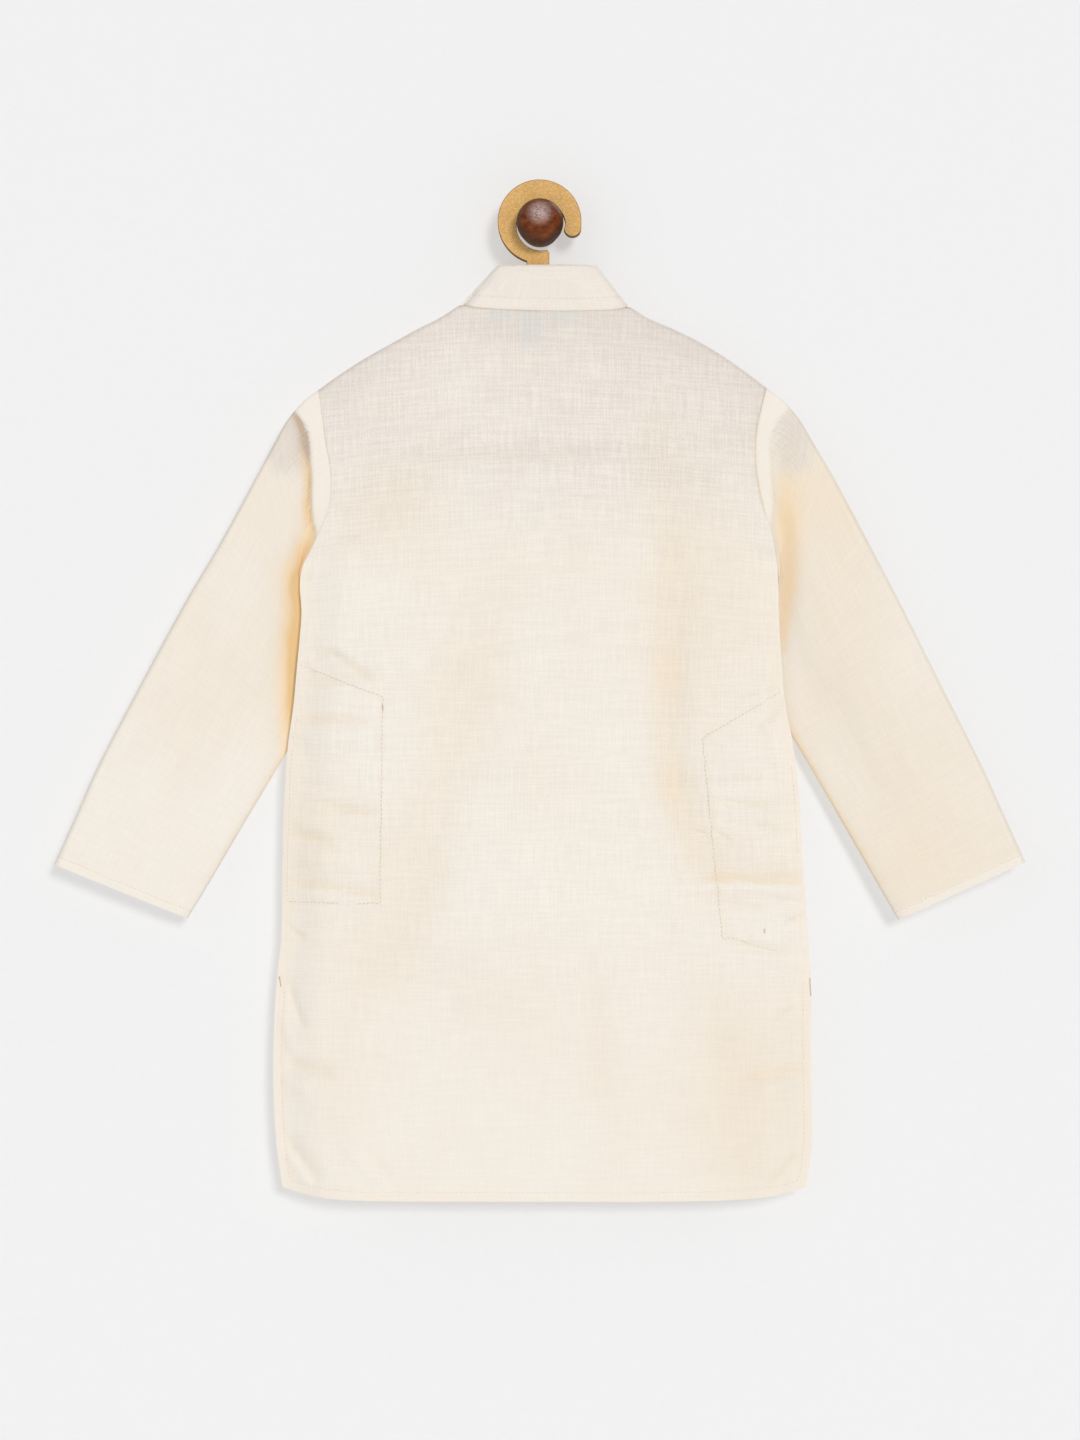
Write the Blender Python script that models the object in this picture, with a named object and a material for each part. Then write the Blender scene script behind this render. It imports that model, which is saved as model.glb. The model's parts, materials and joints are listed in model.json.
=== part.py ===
"""A child's kurta tunic on a flat wooden hanger that hangs from a turned wall knob.

+Z is up, +X is to the viewer's right and the wall is the plane Y = 0, with everything in front of
it at Y < 0. The tunic's back faces the viewer and its front faces the wall. The origin is the
centre of the knob's flat face on the wall. Sizes are in millimetres until a mesh is written.
"""

import bmesh
import bpy
import numpy as np

MM = 0.001

# ---------------------------------------------------------------- driving dimensions, millimetres
MIDDLE_Y = -20.0  # the middle plane of the hanger board and of the tunic
CLOTH = 1.0  # wall of the panels, sleeves, placket, pockets and labels
COLLAR_CLOTH = 1.4
SEAM = 0.3  # between two pieces that are sewn together
LAID = 0.5  # between a panel and a piece that lies on it, measured off the panel's facets
CLOSED = SEAM / 2  # half depth of the tunic where its two faces meet

SHOULDER_ROUND = 5.0  # the cloth's fall from the shoulder line to its full depth over the board
UNDERARM_Z = -226.0
ARMHOLE_CLOSING = 41.0  # height over which an armhole narrows to the underarm
BACK_PRESSED = 32.0  # width of the pressed flat strip along a side seam
FRONT_PRESSED = 70.0

NECK_CENTRE_X = 3.4
NECK_HALF_WIDTH = 56.0
NECK_LEFT_Z = -53.4
NECK_RIGHT_Z = -55.0
NECK_FULLNESS = 3.6  # how much deeper the tunic stands at the middle of the neck
NECK_FULLNESS_DROP = 60.0
NECK_SLOPE = 0.6
NECK_EASE = 6.0
BACK_NECK_DROP = 4.0
FRONT_NECK_DROP = 40.0

HEM_Z = -645.6
HEM_CORNER_RISE = 8.6
HEM_CORNER_POWER = 7

FOLDS_FROM_SIDE = 40.0  # how far in from a side the folds reach their full height
FOLD_FADE = 0.3  # share of a fold's length over which it fades at each end
FOLD_END = 1.25  # where its lower end has faded out, as a share of its length

COLLAR_TOP_Z = -28.2
COLLAR_TOP_CENTRE_X = 4.7
COLLAR_TOP_HALF_WIDTH = 31.4
COLLAR_TOP_DEPTH = 7.0
COLLAR_FRONT_DROP = 38.0
COLLAR_FRONT_GAP = 2.5  # degrees at each side of the front centre
COLLAR_LIFT = 0.5
COLLAR_INSET = 1.9  # how far the band stands inside the neck at its sides
COLLAR_TOP_POWER = 0.7  # below 1 makes the top edge's ends blunter than an ellipse's

PLACKET_WIDTH = 24.0
PLACKET_LENGTH = 150.0
PLACKET_DROP = 1.0  # below the neck edge
BUTTON_RADIUS = 5.5
BUTTON_THICKNESS = 2.2
BUTTON_DROPS = (18.0, 65.0, 112.0)  # down from the top of the placket
BUTTON_SIDES = 16

POCKET_SIDE_GAP = 11.0  # from the side seam to the bag's first cloth

BOARD_THICKNESS = 9.0
BOARD_DROP = 4.4  # from the shoulder line down to the board's top edge
BOARD_END_DROP = 10.0  # how much lower the top edge lies where it meets the rounded ends
BOARD_END_DROP_FROM = 108.0
BOARD_NECK_DROP = 3.8  # how much lower it lies beside the neck's corners
BOARD_NECK_DROP_OVER = 14.0
BOARD_LOWER_Z = -150.0
BOARD_END_LOWER_Z = -169.0
BOARD_END_RADIUS = 18.0
BOARD_LEFT_END_X = -167.0
BOARD_RIGHT_END_X = 171.5
BOARD_NECK_LEFT_X = -8.8
BOARD_NECK_RIGHT_X = 6.1
BOARD_NECK_LOWER_Z = -50.0
BOARD_FLARE = 24.0  # how far to each side of its neck the board takes to reach the shoulder line
BOARD_END_FROM = 62.0  # degrees round each end at which its arc leaves the top edge
BOARD_LOWER_UP_TO = 0.12  # the lower edge's last point, as a share of the way out from the middle

HOOK_OUTER = (-0.3, 0.7, 27.6)  # centre x, centre z, radius
HOOK_INNER = (0.7, -2.4, 16.2)
HOOK_TIP = (21.5, -3.5, 5.8)
HOOK_MOUTH_CORNER_Z = -20.3
HOOK_MOUTH_STEP = 1.5  # from the mouth's corner in to where the inner circle starts
HOOK_INNER_END = -355.0  # degrees, as are the next two
HOOK_TIP_ARC = (190.0, 350.0)
HOOK_OUTER_START = -4.0

KNOB_STEM_RADIUS = 13.3
KNOB_STEM_LENGTH = 24.0
KNOB_NECK_RADIUS = 12.6
KNOB_NECK_LENGTH = 2.0
KNOB_BALL_RADIUS = 15.45
KNOB_FACE_TURN = 8.0  # degrees off the axis at which the ball's round front ends in a small flat
KNOB_SIDES = 28

BACK, FRONT = -1, 1  # the side of MIDDLE_Y that a face of the tunic lies on


# ---------------------------------------------------------------- tables
def table(columns, *rows):
    """Returns {column name: its values down the rows}."""
    return dict(zip(columns.split(), np.array(rows, float).T))


# The tunic's side edges, from the shoulder tips down the armholes and side seams to the hem.
SIDE = table(
    "z left right",
    (-109.5, -146.5, 149.5),  # shoulder tips
    (-143.0, -141.9, 142.6),
    (-170.0, -137.9, 143.8),  # the armholes' deepest point
    (-186.0, -138.6, 147.0),
    (-205.0, -145.0, 152.4),
    (-217.0, -151.6, 155.2),
    (-227.0, -156.6, 156.6),  # underarms
    (-260.0, -157.6, 157.8),
    (-292.0, -160.4, 159.6),
    (-318.0, -162.8, 162.0),
    (-345.0, -166.4, 167.2),
    (-381.0, -168.8, 171.4),
    (-421.0, -170.0, 173.8),
    (-474.0, -171.2, 177.4),
    (-501.0, -174.0, 179.4),  # tops of the side slits
    (-540.0, -176.0, 179.2),
    (-580.0, -175.8, 179.8),
    (-612.0, -173.6, 179.6),
    (-637.0, -169.8, 175.8),
)

# The shoulder lines, from the tips in to the neck.
SHOULDER = table(
    "left_x left_z right_x right_z",
    (-146.5, -110.0, 149.5, -108.5),
    (-132.7, -100.1, 137.9, -99.6),
    (-116.8, -89.8, 123.4, -89.3),
    (-97.7, -79.0, 106.3, -78.8),
    (-80.0, -69.2, 85.1, -68.4),
    (-65.0, -61.6, 70.0, -61.8),
    (-52.6, -53.4, 59.4, -55.0),
)

# Half depth of the tunic's hollow by height.
DEPTH = table(
    "z half",
    (-60.0, 5.3),
    (-150.0, 5.3),
    (-190.0, 6.2),
    (-260.0, 7.6),
    (-380.0, 8.6),
    (-500.0, 8.2),
    (-580.0, 8.4),
    (-646.0, 9.2),
)

# Sleeve sections, from the armhole to the cuff: the outer fold and the underarm fold, how far the
# underarm side lies behind the body, and half the depth of the tube at each side.
SLEEVE_LEFT = table(
    "outer_x outer_z inner_x inner_z tuck outer_half inner_half",
    (-146.5, -110.0, -157.2, -226.6, 0.0, 5.3, 5.3),
    (-156.5, -118.0, -158.6, -234.5, 3.2, 5.3, 5.0),
    (-166.5, -129.5, -156.8, -245.0, 7.4, 5.3, 4.4),
    (-175.5, -145.0, -152.5, -260.0, 9.8, 5.3, 4.0),
    (-189.0, -170.0, -150.5, -281.0, 10.4, 5.2, 4.0),
    (-211.0, -210.0, -148.5, -303.0, 10.4, 5.0, 4.0),
    (-235.0, -250.5, -156.0, -328.0, 9.6, 4.9, 4.0),
    (-263.5, -303.0, -173.0, -357.0, 7.6, 4.7, 4.0),
    (-291.0, -355.5, -201.5, -405.0, 4.0, 4.6, 4.2),
    (-306.5, -390.0, -217.5, -432.5, 2.2, 4.6, 4.4),
    (-321.5, -423.5, -233.6, -459.2, 1.0, 4.8, 4.8),
)
SLEEVE_RIGHT = table(
    "outer_x outer_z inner_x inner_z tuck outer_half inner_half",
    (149.5, -108.5, 157.2, -226.6, 0.0, 5.3, 5.3),
    (161.0, -117.5, 158.8, -235.0, 3.2, 5.3, 5.0),
    (171.0, -129.0, 156.8, -245.5, 7.4, 5.3, 4.4),
    (180.5, -144.5, 152.5, -260.0, 9.8, 5.3, 4.0),
    (195.5, -170.0, 149.5, -281.0, 10.4, 5.2, 4.0),
    (217.0, -210.0, 147.5, -299.0, 10.4, 5.0, 4.0),
    (238.5, -251.0, 155.5, -318.5, 9.6, 4.9, 4.0),
    (264.8, -303.5, 174.8, -351.0, 7.6, 4.7, 4.0),
    (291.3, -356.0, 205.3, -404.0, 4.0, 4.6, 4.2),
    (306.8, -390.0, 221.5, -432.5, 2.2, 4.6, 4.4),
    (321.2, -422.0, 237.4, -460.3, 1.0, 4.8, 4.8),
)

# The largest folds: each runs from its upper to its lower end, and its rise is outwards if
# positive and inwards if negative.
BACK_FOLDS = table(
    "upper_x upper_z lower_x lower_z width rise",
    (-33.0, -250.0, -79.0, -421.0, 20.0, -2.0),
    (-79.0, -400.0, -104.0, -500.0, 18.0, -1.6),
    (-2.0, -300.0, -32.0, -560.0, 30.0, 1.4),
    (84.0, -215.0, 82.0, -355.0, 18.0, -1.8),
    (82.0, -340.0, 116.0, -440.0, 16.0, -1.8),
    (40.0, -420.0, 58.0, -650.0, 24.0, 1.5),
    (-128.0, -520.0, -122.0, -650.0, 16.0, 1.6),
    (128.0, -500.0, 134.0, -650.0, 16.0, -1.4),
)
FRONT_FOLDS = table(
    "upper_x upper_z lower_x lower_z width rise",
    (-62.0, -240.0, -84.0, -430.0, 20.0, -1.8),
    (58.0, -260.0, 88.0, -470.0, 22.0, -1.8),
    (-30.0, -380.0, -44.0, -650.0, 24.0, 1.6),
    (24.0, -330.0, 30.0, -640.0, 20.0, -1.4),
    (98.0, -470.0, 110.0, -650.0, 18.0, 1.6),
    (-118.0, -480.0, -124.0, -650.0, 18.0, -1.4),
)

# A button's section, as shares of its thickness and of its radius.
BUTTON_SECTION = table(
    "height radius",
    (0.0, 0.8),
    (0.4, 1.0),
    (1.0, 0.9),
    (1.0, 0.78),
    (0.77, 0.62),
)

# Pocket bags stitched inside the back: the slanted top, the inner edge and the bottom.
POCKETS = table(
    "side top_side_z top_inner_z bottom_side_z bottom_inner_z top_inner_x bottom_inner_x",
    (-1, -296.0, -313.3, -448.5, -449.5, -103.6, -105.6),
    (1, -313.0, -340.4, -480.5, -472.4, 106.9, 120.1),
)

# Woven labels inside the back neck, given by their edges; the second hangs under the first.
LABELS = table(
    "left right top bottom",
    (-33.0, 25.0, -62.5, -76.0),
    (-14.5, 3.5, -76.3, -92.0),
)

COLOURS = {  # linear red, green and blue, then roughness
    "cotton": (0.87, 0.80, 0.70, 0.85),
    "label": (0.36, 0.52, 0.54, 0.8),
    "button": (0.84, 0.79, 0.70, 0.35),
    "board": (0.62, 0.37, 0.14, 0.55),
    "knob": (0.12, 0.035, 0.013, 0.3),
}


# ---------------------------------------------------------------- curves and small helpers
def smooth(x, y, at):
    """A cubic through the points (x, y), with their own central slopes, level past the ends."""
    order = np.argsort(x)
    x, y = x[order], y[order]
    slope = np.gradient(y, x)
    i = np.clip(np.searchsorted(x, at) - 1, 0, len(x) - 2)
    step = x[i + 1] - x[i]
    t = np.clip((at - x[i]) / step, 0.0, 1.0)
    start = (1 + 2 * t) * (1 - t) ** 2 * y[i] + t * (1 - t) ** 2 * step * slope[i]
    end = t**2 * (3 - 2 * t) * y[i + 1] + t**2 * (t - 1) * step * slope[i + 1]
    return start + end


def ease(t):
    """0 to 1 with level ends."""
    t = np.clip(t, 0.0, 1.0)
    return t * t * (3 - 2 * t)


def rounded(t):
    """A quarter circle from 0 up to 1."""
    t = np.clip(t, 0.0, 1.0)
    return np.sqrt(1 - (1 - t) ** 2)


def blend(a, b, t):
    return a + (b - a) * t


def unit(vectors):
    return vectors / np.linalg.norm(vectors, axis=-1, keepdims=True)


def stack(x, y, z):
    return np.stack(np.broadcast_arrays(x, y, z), axis=-1)


def side_left(z):
    return smooth(SIDE["z"], SIDE["left"], z)


def side_right(z):
    return smooth(SIDE["z"], SIDE["right"], z)


# ---------------------------------------------------------------- the tunic's form
NECK_LEFT_X = NECK_CENTRE_X - NECK_HALF_WIDTH
NECK_RIGHT_X = NECK_CENTRE_X + NECK_HALF_WIDTH


def in_neck(x):
    """How far across the neck x lies, from -1 to 1, held at the ends."""
    return np.clip((x - NECK_CENTRE_X) / NECK_HALF_WIDTH, -1.0, 1.0)


def top_line(x, face):
    """Height of the outer edge: along the shoulders, and round the neck of this face."""
    left = smooth(SHOULDER["left_x"], SHOULDER["left_z"], x)
    right = smooth(SHOULDER["right_x"], SHOULDER["right_z"], x)
    level = blend(NECK_LEFT_Z, NECK_RIGHT_Z, (in_neck(x) + 1) / 2)
    drop = FRONT_NECK_DROP if face == FRONT else BACK_NECK_DROP
    neck = level - drop * np.sqrt(1 - in_neck(x) ** 2)
    return np.where(x < NECK_LEFT_X, left, np.where(x > NECK_RIGHT_X, right, neck))


def cloth_top(x, face):
    """Height of a panel's inner edge: under the cloth's own thickness along the shoulders."""
    inside = np.minimum(x - NECK_LEFT_X, NECK_RIGHT_X - x)
    return top_line(x, face) - CLOTH * (1 - ease(inside / NECK_EASE))


def under_shoulder(x, z):
    """How far a point lies below the shoulder line, which runs on upwards across the neck."""
    inside = np.maximum(np.minimum(x - NECK_LEFT_X, NECK_RIGHT_X - x), 0.0)
    line = np.where(inside > 0, blend(NECK_LEFT_Z, NECK_RIGHT_Z, 0.5), top_line(x, BACK))
    return line + NECK_SLOPE * inside - CLOTH - z


def fold_relief(x, z, folds):
    """Soft troughs and ridges: a bell across each fold that fades towards its two ends."""
    relief = np.zeros(np.broadcast(x, z).shape)
    for upper_x, upper_z, lower_x, lower_z, width, rise in zip(*folds.values()):
        run = np.array([lower_x - upper_x, lower_z - upper_z])
        length = np.hypot(*run)
        along = ((x - upper_x) * run[0] + (z - upper_z) * run[1]) / length**2
        across = ((x - upper_x) * run[1] - (z - upper_z) * run[0]) / length
        fade = ease(along / FOLD_FADE) * ease((FOLD_END - along) / FOLD_FADE)
        relief = relief + rise * np.exp(-((across / width) ** 2)) * fade
    return relief


def half_depth(x, z, face):
    """Distance from the middle plane to the inside of this face's cloth."""
    pressed = BACK_PRESSED if face == BACK else FRONT_PRESSED
    from_side = np.minimum(x - side_left(z), side_right(z) - x)
    armhole = rounded((z - UNDERARM_Z) / ARMHOLE_CLOSING)
    across = 1 - (1 - armhole) * (1 - ease(from_side / pressed))
    below_edge = top_line(x, face) - z
    fullness = NECK_FULLNESS * (1 - in_neck(x) ** 2) * (1 - ease(below_edge / NECK_FULLNESS_DROP))
    relief = fold_relief(x, z, BACK_FOLDS if face == BACK else FRONT_FOLDS)
    depth = smooth(DEPTH["z"], DEPTH["half"], z) + fullness
    shape = rounded(under_shoulder(x, z) / SHOULDER_ROUND) * across
    return CLOSED + (depth - CLOSED) * shape + relief * ease(from_side / FOLDS_FROM_SIDE)


def on_face(x, z, face, out=0.0):
    """Points on this face's inner side, moved outwards."""
    return stack(x, MIDDLE_Y + face * (half_depth(x, z, face) + out), z)


# ---------------------------------------------------------------- meshes
def material(name):
    made = bpy.data.materials.get(name)
    if made is None:
        made = bpy.data.materials.new(name)
        made.use_nodes = True
        shader = made.node_tree.nodes["Principled BSDF"]
        red, green, blue, roughness = COLOURS[name.split(".")[-1]]
        shader.inputs["Base Color"].default_value = (red, green, blue, 1.0)
        shader.inputs["Roughness"].default_value = roughness
        shader.inputs["Metallic"].default_value = 0.0
        made.diffuse_color = (red, green, blue, 1.0)
    return made


def add_object(name, points, faces, finish):
    """One closed object from points in millimetres, with its faces turned outwards."""
    mesh = bpy.data.meshes.new(name)
    mesh.from_pydata([tuple(p) for p in np.asarray(points) * MM], [], faces)
    shape = bmesh.new()
    shape.from_mesh(mesh)
    bmesh.ops.recalc_face_normals(shape, faces=shape.faces)
    shape.to_mesh(mesh)
    shape.free()
    mesh.shade_smooth()
    mesh.set_sharp_from_angle(angle=np.radians(35))
    mesh.materials.append(material(f"{name}.{finish}"))
    made = bpy.data.objects.new(name, mesh)
    bpy.context.collection.objects.link(made)
    return made


def wall(name, inner, outer, finish, wrapped=False):
    """A closed wall between two equal grids of points; a wrapped grid's first axis is a ring."""
    columns, rows = inner.shape[:2]
    count = columns * rows
    index = np.arange(count).reshape(columns, rows)
    if wrapped:
        index = np.vstack([index, index[:1]])
    quads = np.stack([index[:-1, :-1], index[1:, :-1], index[1:, 1:], index[:-1, 1:]], axis=-1)
    faces = [*quads.reshape(-1, 4)[:, ::-1].tolist(), *(quads.reshape(-1, 4) + count).tolist()]
    rims = [index[:, 0], index[:, -1]]
    if not wrapped:
        rims += [index[0], index[-1]]
    for rim in rims:
        strip = np.stack([rim[:-1], rim[1:], rim[1:] + count, rim[:-1] + count], axis=-1)
        faces += strip.tolist()
    points = np.concatenate([inner.reshape(-1, 3), outer.reshape(-1, 3)])
    return add_object(name, points, faces, finish)


def grid_normals(points, face):
    """Unit normals of an open grid, turned to this face's outer side and square to its sides."""
    across = np.gradient(points, axis=0)
    along = np.gradient(points, axis=1)
    normals = np.cross(across, along)
    normals[[0, -1], :, 0] = 0.0
    return unit(normals) * np.sign(normals[..., 1:2]) * face


def extruded(name, outline, low_y, high_y, finish):
    """A flat board: an outline of (x, z) points carried from low_y to high_y."""
    count = len(outline)
    points = [(x, y, z) for y in (low_y, high_y) for x, z in outline]
    ring = list(range(count))
    sides = [[i, (i + 1) % count, (i + 1) % count + count, i + count] for i in ring]
    return add_object(name, points, [ring, [i + count for i in ring], *sides], finish)


def turned(name, profile, centre, finish, sides):
    """A solid turned about the Y axis through centre; profile is (y, radius) from end to end."""
    angle = np.linspace(0, 2 * np.pi, sides, endpoint=False)
    y, radius = np.array(profile).T
    x = centre[0] + radius[:, None] * np.cos(angle)
    z = centre[2] + radius[:, None] * np.sin(angle)
    points = stack(x, (centre[1] + y)[:, None], z).reshape(-1, 3)
    ring = np.arange(sides)
    following = (ring + 1) % sides
    faces = [ring.tolist(), (ring + sides * (len(y) - 1)).tolist()]
    for level in range(len(y) - 1):
        low, high = level * sides, (level + 1) * sides
        faces += np.stack([ring + low, following + low, following + high, ring + high], 1).tolist()
    return add_object(name, points, faces, finish)


# ---------------------------------------------------------------- body panels
NECK_STEPS = 12  # columns across the neck
SHOULDER_STEPS = 7  # columns along each shoulder
ROUND_STEPS = 3  # rows over the rounding at the shoulder line
BODY_ROWS = 30
COLUMN_MARGIN = 0.02  # least share of a panel's width between a piece's edge and a column in it


def panel_columns():
    """Places of the columns from the left edge, 0, to the right edge, 1, with the neck in them."""
    left, right = SHOULDER["left_x"][0], SHOULDER["right_x"][0]
    turn = np.linspace(-np.pi / 2, np.pi / 2, NECK_STEPS + 1)
    neck = NECK_CENTRE_X + NECK_HALF_WIDTH * np.sin(turn)
    left_shoulder = np.linspace(left, neck[0], SHOULDER_STEPS + 1)[:-1]
    right_shoulder = np.linspace(neck[-1], right, SHOULDER_STEPS + 1)[1:]
    x = np.concatenate([left_shoulder, neck, right_shoulder])
    return (x - left) / (right - left)


def panel_grid(face):
    """Grid of a body panel's inner side, by column and by row from the hem up."""
    u = panel_columns()[:, None]
    left, right = SHOULDER["left_x"][0], SHOULDER["right_x"][0]
    top = cloth_top(blend(left, right, u), face)
    hem = HEM_Z + HEM_CORNER_RISE * np.abs(2 * u - 1) ** HEM_CORNER_POWER
    turn = np.linspace(np.pi / 2, 0, ROUND_STEPS + 1)
    fall = SHOULDER_ROUND * (1 - np.cos(turn))
    share = np.linspace(0, 1, BODY_ROWS)
    body = blend(hem, top - SHOULDER_ROUND, share)
    z = np.hstack([body, top - fall[1:]])
    x = blend(side_left(z), side_right(z), u)
    return on_face(x, z, face)


def body_panel(name, face):
    inner = panel_grid(face)
    outer = inner + CLOTH * grid_normals(inner, face)
    return wall(name, inner, outer, "cotton")


def on_panel(x, z, face):
    """Points on a panel's facets at the places x and z, read between its columns."""
    grid = panel_grid(face)
    share = (x - side_left(z)) / (side_right(z) - side_left(z))
    place = np.interp(share, panel_columns(), np.arange(len(grid)))
    before = np.clip(np.floor(place).astype(int), 0, len(grid) - 2)
    y = np.empty(z.shape)
    for spot, column in np.ndenumerate(before):
        sides = [np.interp(z[spot], grid[c, :, 2], grid[c, :, 1]) for c in (column, column + 1)]
        y[spot] = blend(*sides, place[spot] - column)
    return stack(x, y, z)


def patch(name, x, z, face, out, finish="cotton"):
    """A piece that lies on a panel, made from the panel's own points moved in or out."""
    x, z = np.broadcast_arrays(x, z)
    panel = on_panel(x, z, face)
    normals = grid_normals(panel, face)
    return wall(name, panel + out * normals, panel + (out + CLOTH) * normals, finish)


def columns_between(low, high, z):
    """Places from low to high, with those of the panel's columns that lie between, at height z."""
    width = side_right(z) - side_left(z)
    columns = side_left(z) + panel_columns() * width
    margin = COLUMN_MARGIN * width
    inside = columns[(columns > low + margin) & (columns < high - margin)]
    return np.array([low, *inside, high])


def pocket_bag(name, row):
    """A pocket's cloth, stitched to the inside of the back, open towards the side seam."""
    pocket = {column: values[row] for column, values in POCKETS.items()}
    middle = np.array((pocket["top_side_z"] + pocket["bottom_side_z"]) / 2)
    seam = side_left if pocket["side"] < 0 else side_right
    start = float(seam(middle)) - pocket["side"] * POCKET_SIDE_GAP
    end = (pocket["bottom_inner_x"] + pocket["top_inner_x"]) / 2
    places = columns_between(min(start, end), max(start, end), middle)
    u = ((places - start) / (end - start))[:, None]
    v = np.linspace(0, 1, 10)
    bottom = blend(pocket["bottom_side_z"], pocket["bottom_inner_z"], u)
    z = blend(bottom, blend(pocket["top_side_z"], pocket["top_inner_z"], u), v)
    first = seam(z) - pocket["side"] * POCKET_SIDE_GAP
    last = blend(pocket["bottom_inner_x"], pocket["top_inner_x"], v)
    return patch(name, blend(first, last, u), z, BACK, -LAID - CLOTH)


def label(name, row):
    """A blank woven label inside the back neck."""
    size = {column: values[row] for column, values in LABELS.items()}
    x = columns_between(size["left"], size["right"], np.array(size["top"]))[:, None]
    z = np.linspace(size["bottom"], size["top"], 4)
    return patch(name, x, z, BACK, -LAID - CLOTH, "label")


# ---------------------------------------------------------------- front placket and buttons
PLACKET_TOP_Z = float(top_line(np.array(NECK_CENTRE_X), FRONT)) - PLACKET_DROP


def placket():
    half = PLACKET_WIDTH / 2
    top = np.array(PLACKET_TOP_Z)
    x = columns_between(NECK_CENTRE_X - half, NECK_CENTRE_X + half, top)[:, None]
    z = np.linspace(PLACKET_TOP_Z - PLACKET_LENGTH, PLACKET_TOP_Z, 12)
    return patch("placket", x, z, FRONT, CLOTH + LAID)


def button(number, drop):
    """A round button with a shallow dimple, just clear of the placket's outer side."""
    z = PLACKET_TOP_Z - drop
    reach = z + BUTTON_RADIUS * np.array([-1.0, 0.0, 1.0])
    highest = on_panel(np.full(3, NECK_CENTRE_X), reach, FRONT)[:, 1].max()
    seat = highest + 2 * CLOTH + LAID + SEAM
    heights = BUTTON_THICKNESS * BUTTON_SECTION["height"]
    profile = list(zip(heights, BUTTON_RADIUS * BUTTON_SECTION["radius"]))
    centre = (NECK_CENTRE_X, seat, z)
    return turned(f"button_{number}", profile, centre, "button", BUTTON_SIDES)


# ---------------------------------------------------------------- sleeves
SLEEVE_RINGS = 20
OUTER_ROUND = 5.0
INNER_ROUND = 20.0
HALF_FROM, HALF_OVER = 0.4, 0.4  # shares of a ring over which its two half depths blend
TUCK_FROM, TUCK_OVER = 0.42, 0.45  # shares of a ring over which it moves behind the body
SEAM_CLEAR = 0.05  # beyond SEAM, for the armhole's facets
SEAM_EASE = 1.2  # how far a sleeve swells off the armhole by its first table row
SEAM_ROWS = 3.0  # table rows over which a sleeve takes up its own section
LOW_SHARE = 0.3  # share of a ring below which it leaves the armhole's line sooner
LEAST_ROWS = 0.01


def armhole_shares(column):
    """The panel's rows down an armhole, as shares of the way from shoulder tip to underarm."""
    z = panel_grid(BACK)[column, ::-1, 2]
    z = z[z > UNDERARM_Z]
    return np.append((z[0] - z) / (z[0] - UNDERARM_Z), 1.0)


def sleeve_loop(along, half, out):
    """One flattened ring in its own plane, as (along, depth), grown outwards by out.

    It starts at the outer fold, comes down the back and goes up the front.
    """
    back = np.stack([along, -half], axis=-1)
    front = np.stack([along, half], axis=-1)[-2:0:-1]
    loop = np.concatenate([back, front])
    tangent = np.roll(loop, -1, axis=0) - np.roll(loop, 1, axis=0)
    return loop + out * unit(np.stack([tangent[:, 1], -tangent[:, 0]], axis=-1))


def sleeve_grid(sections, edge, side, out):
    """Grid of a sleeve's inner side, or with out its outer side, by ring point and by ring."""
    shares = armhole_shares(0 if side < 0 else -1)
    rows = np.arange(len(sections["tuck"]), dtype=float)
    at = np.linspace(0, rows[-1], SLEEVE_RINGS)
    read = {name: smooth(rows, values, at) for name, values in sections.items()}
    rings = []
    for ring, place in enumerate(at):
        outer_fold = np.array([read["outer_x"][ring], read["outer_z"][ring]])
        inner_fold = np.array([read["inner_x"][ring], read["inner_z"][ring]])
        run = inner_fold - outer_fold
        outer_fold = outer_fold + CLOTH * run / np.hypot(*run)
        run = inner_fold - outer_fold
        length = np.hypot(*run)
        inner_part = ease((shares - HALF_FROM) / HALF_OVER)
        own = blend(read["outer_half"][ring], read["inner_half"][ring], inner_part)
        own = own * rounded(shares * length / OUTER_ROUND)
        own = own * rounded((1 - shares) * length / INNER_ROUND)
        spots = outer_fold + run * shares[:, None]
        seam = half_depth(edge(spots[:, 1]), spots[:, 1], BACK)
        seam[[0, -1]] = 0.0
        at_seam = 1 - ease(place / SEAM_ROWS)
        loop = sleeve_loop(shares * length, blend(own, seam, at_seam), out)
        share = loop[:, 0] / length
        spots = outer_fold + run * share[:, None]
        clear_of_seam = SEAM + SEAM_CLEAR + SEAM_EASE * min(place, 1.0)
        follows = 1 - ease(place / (LEAST_ROWS + SEAM_ROWS * ease(share / LOW_SHARE)))
        x = blend(spots[:, 0], edge(spots[:, 1]) + side * clear_of_seam, follows)
        behind = read["tuck"][ring] * ease((share - TUCK_FROM) / TUCK_OVER)
        rings.append(stack(x, MIDDLE_Y + loop[:, 1] + behind, spots[:, 1]))
    return np.stack(rings, axis=1)


def sleeve(name, sections, edge, side):
    inner = sleeve_grid(sections, edge, side, 0.0)
    outer = sleeve_grid(sections, edge, side, CLOTH)
    return wall(name, inner, outer, "cotton", wrapped=True)


# ---------------------------------------------------------------- collar
COLLAR_ROWS = 5


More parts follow.
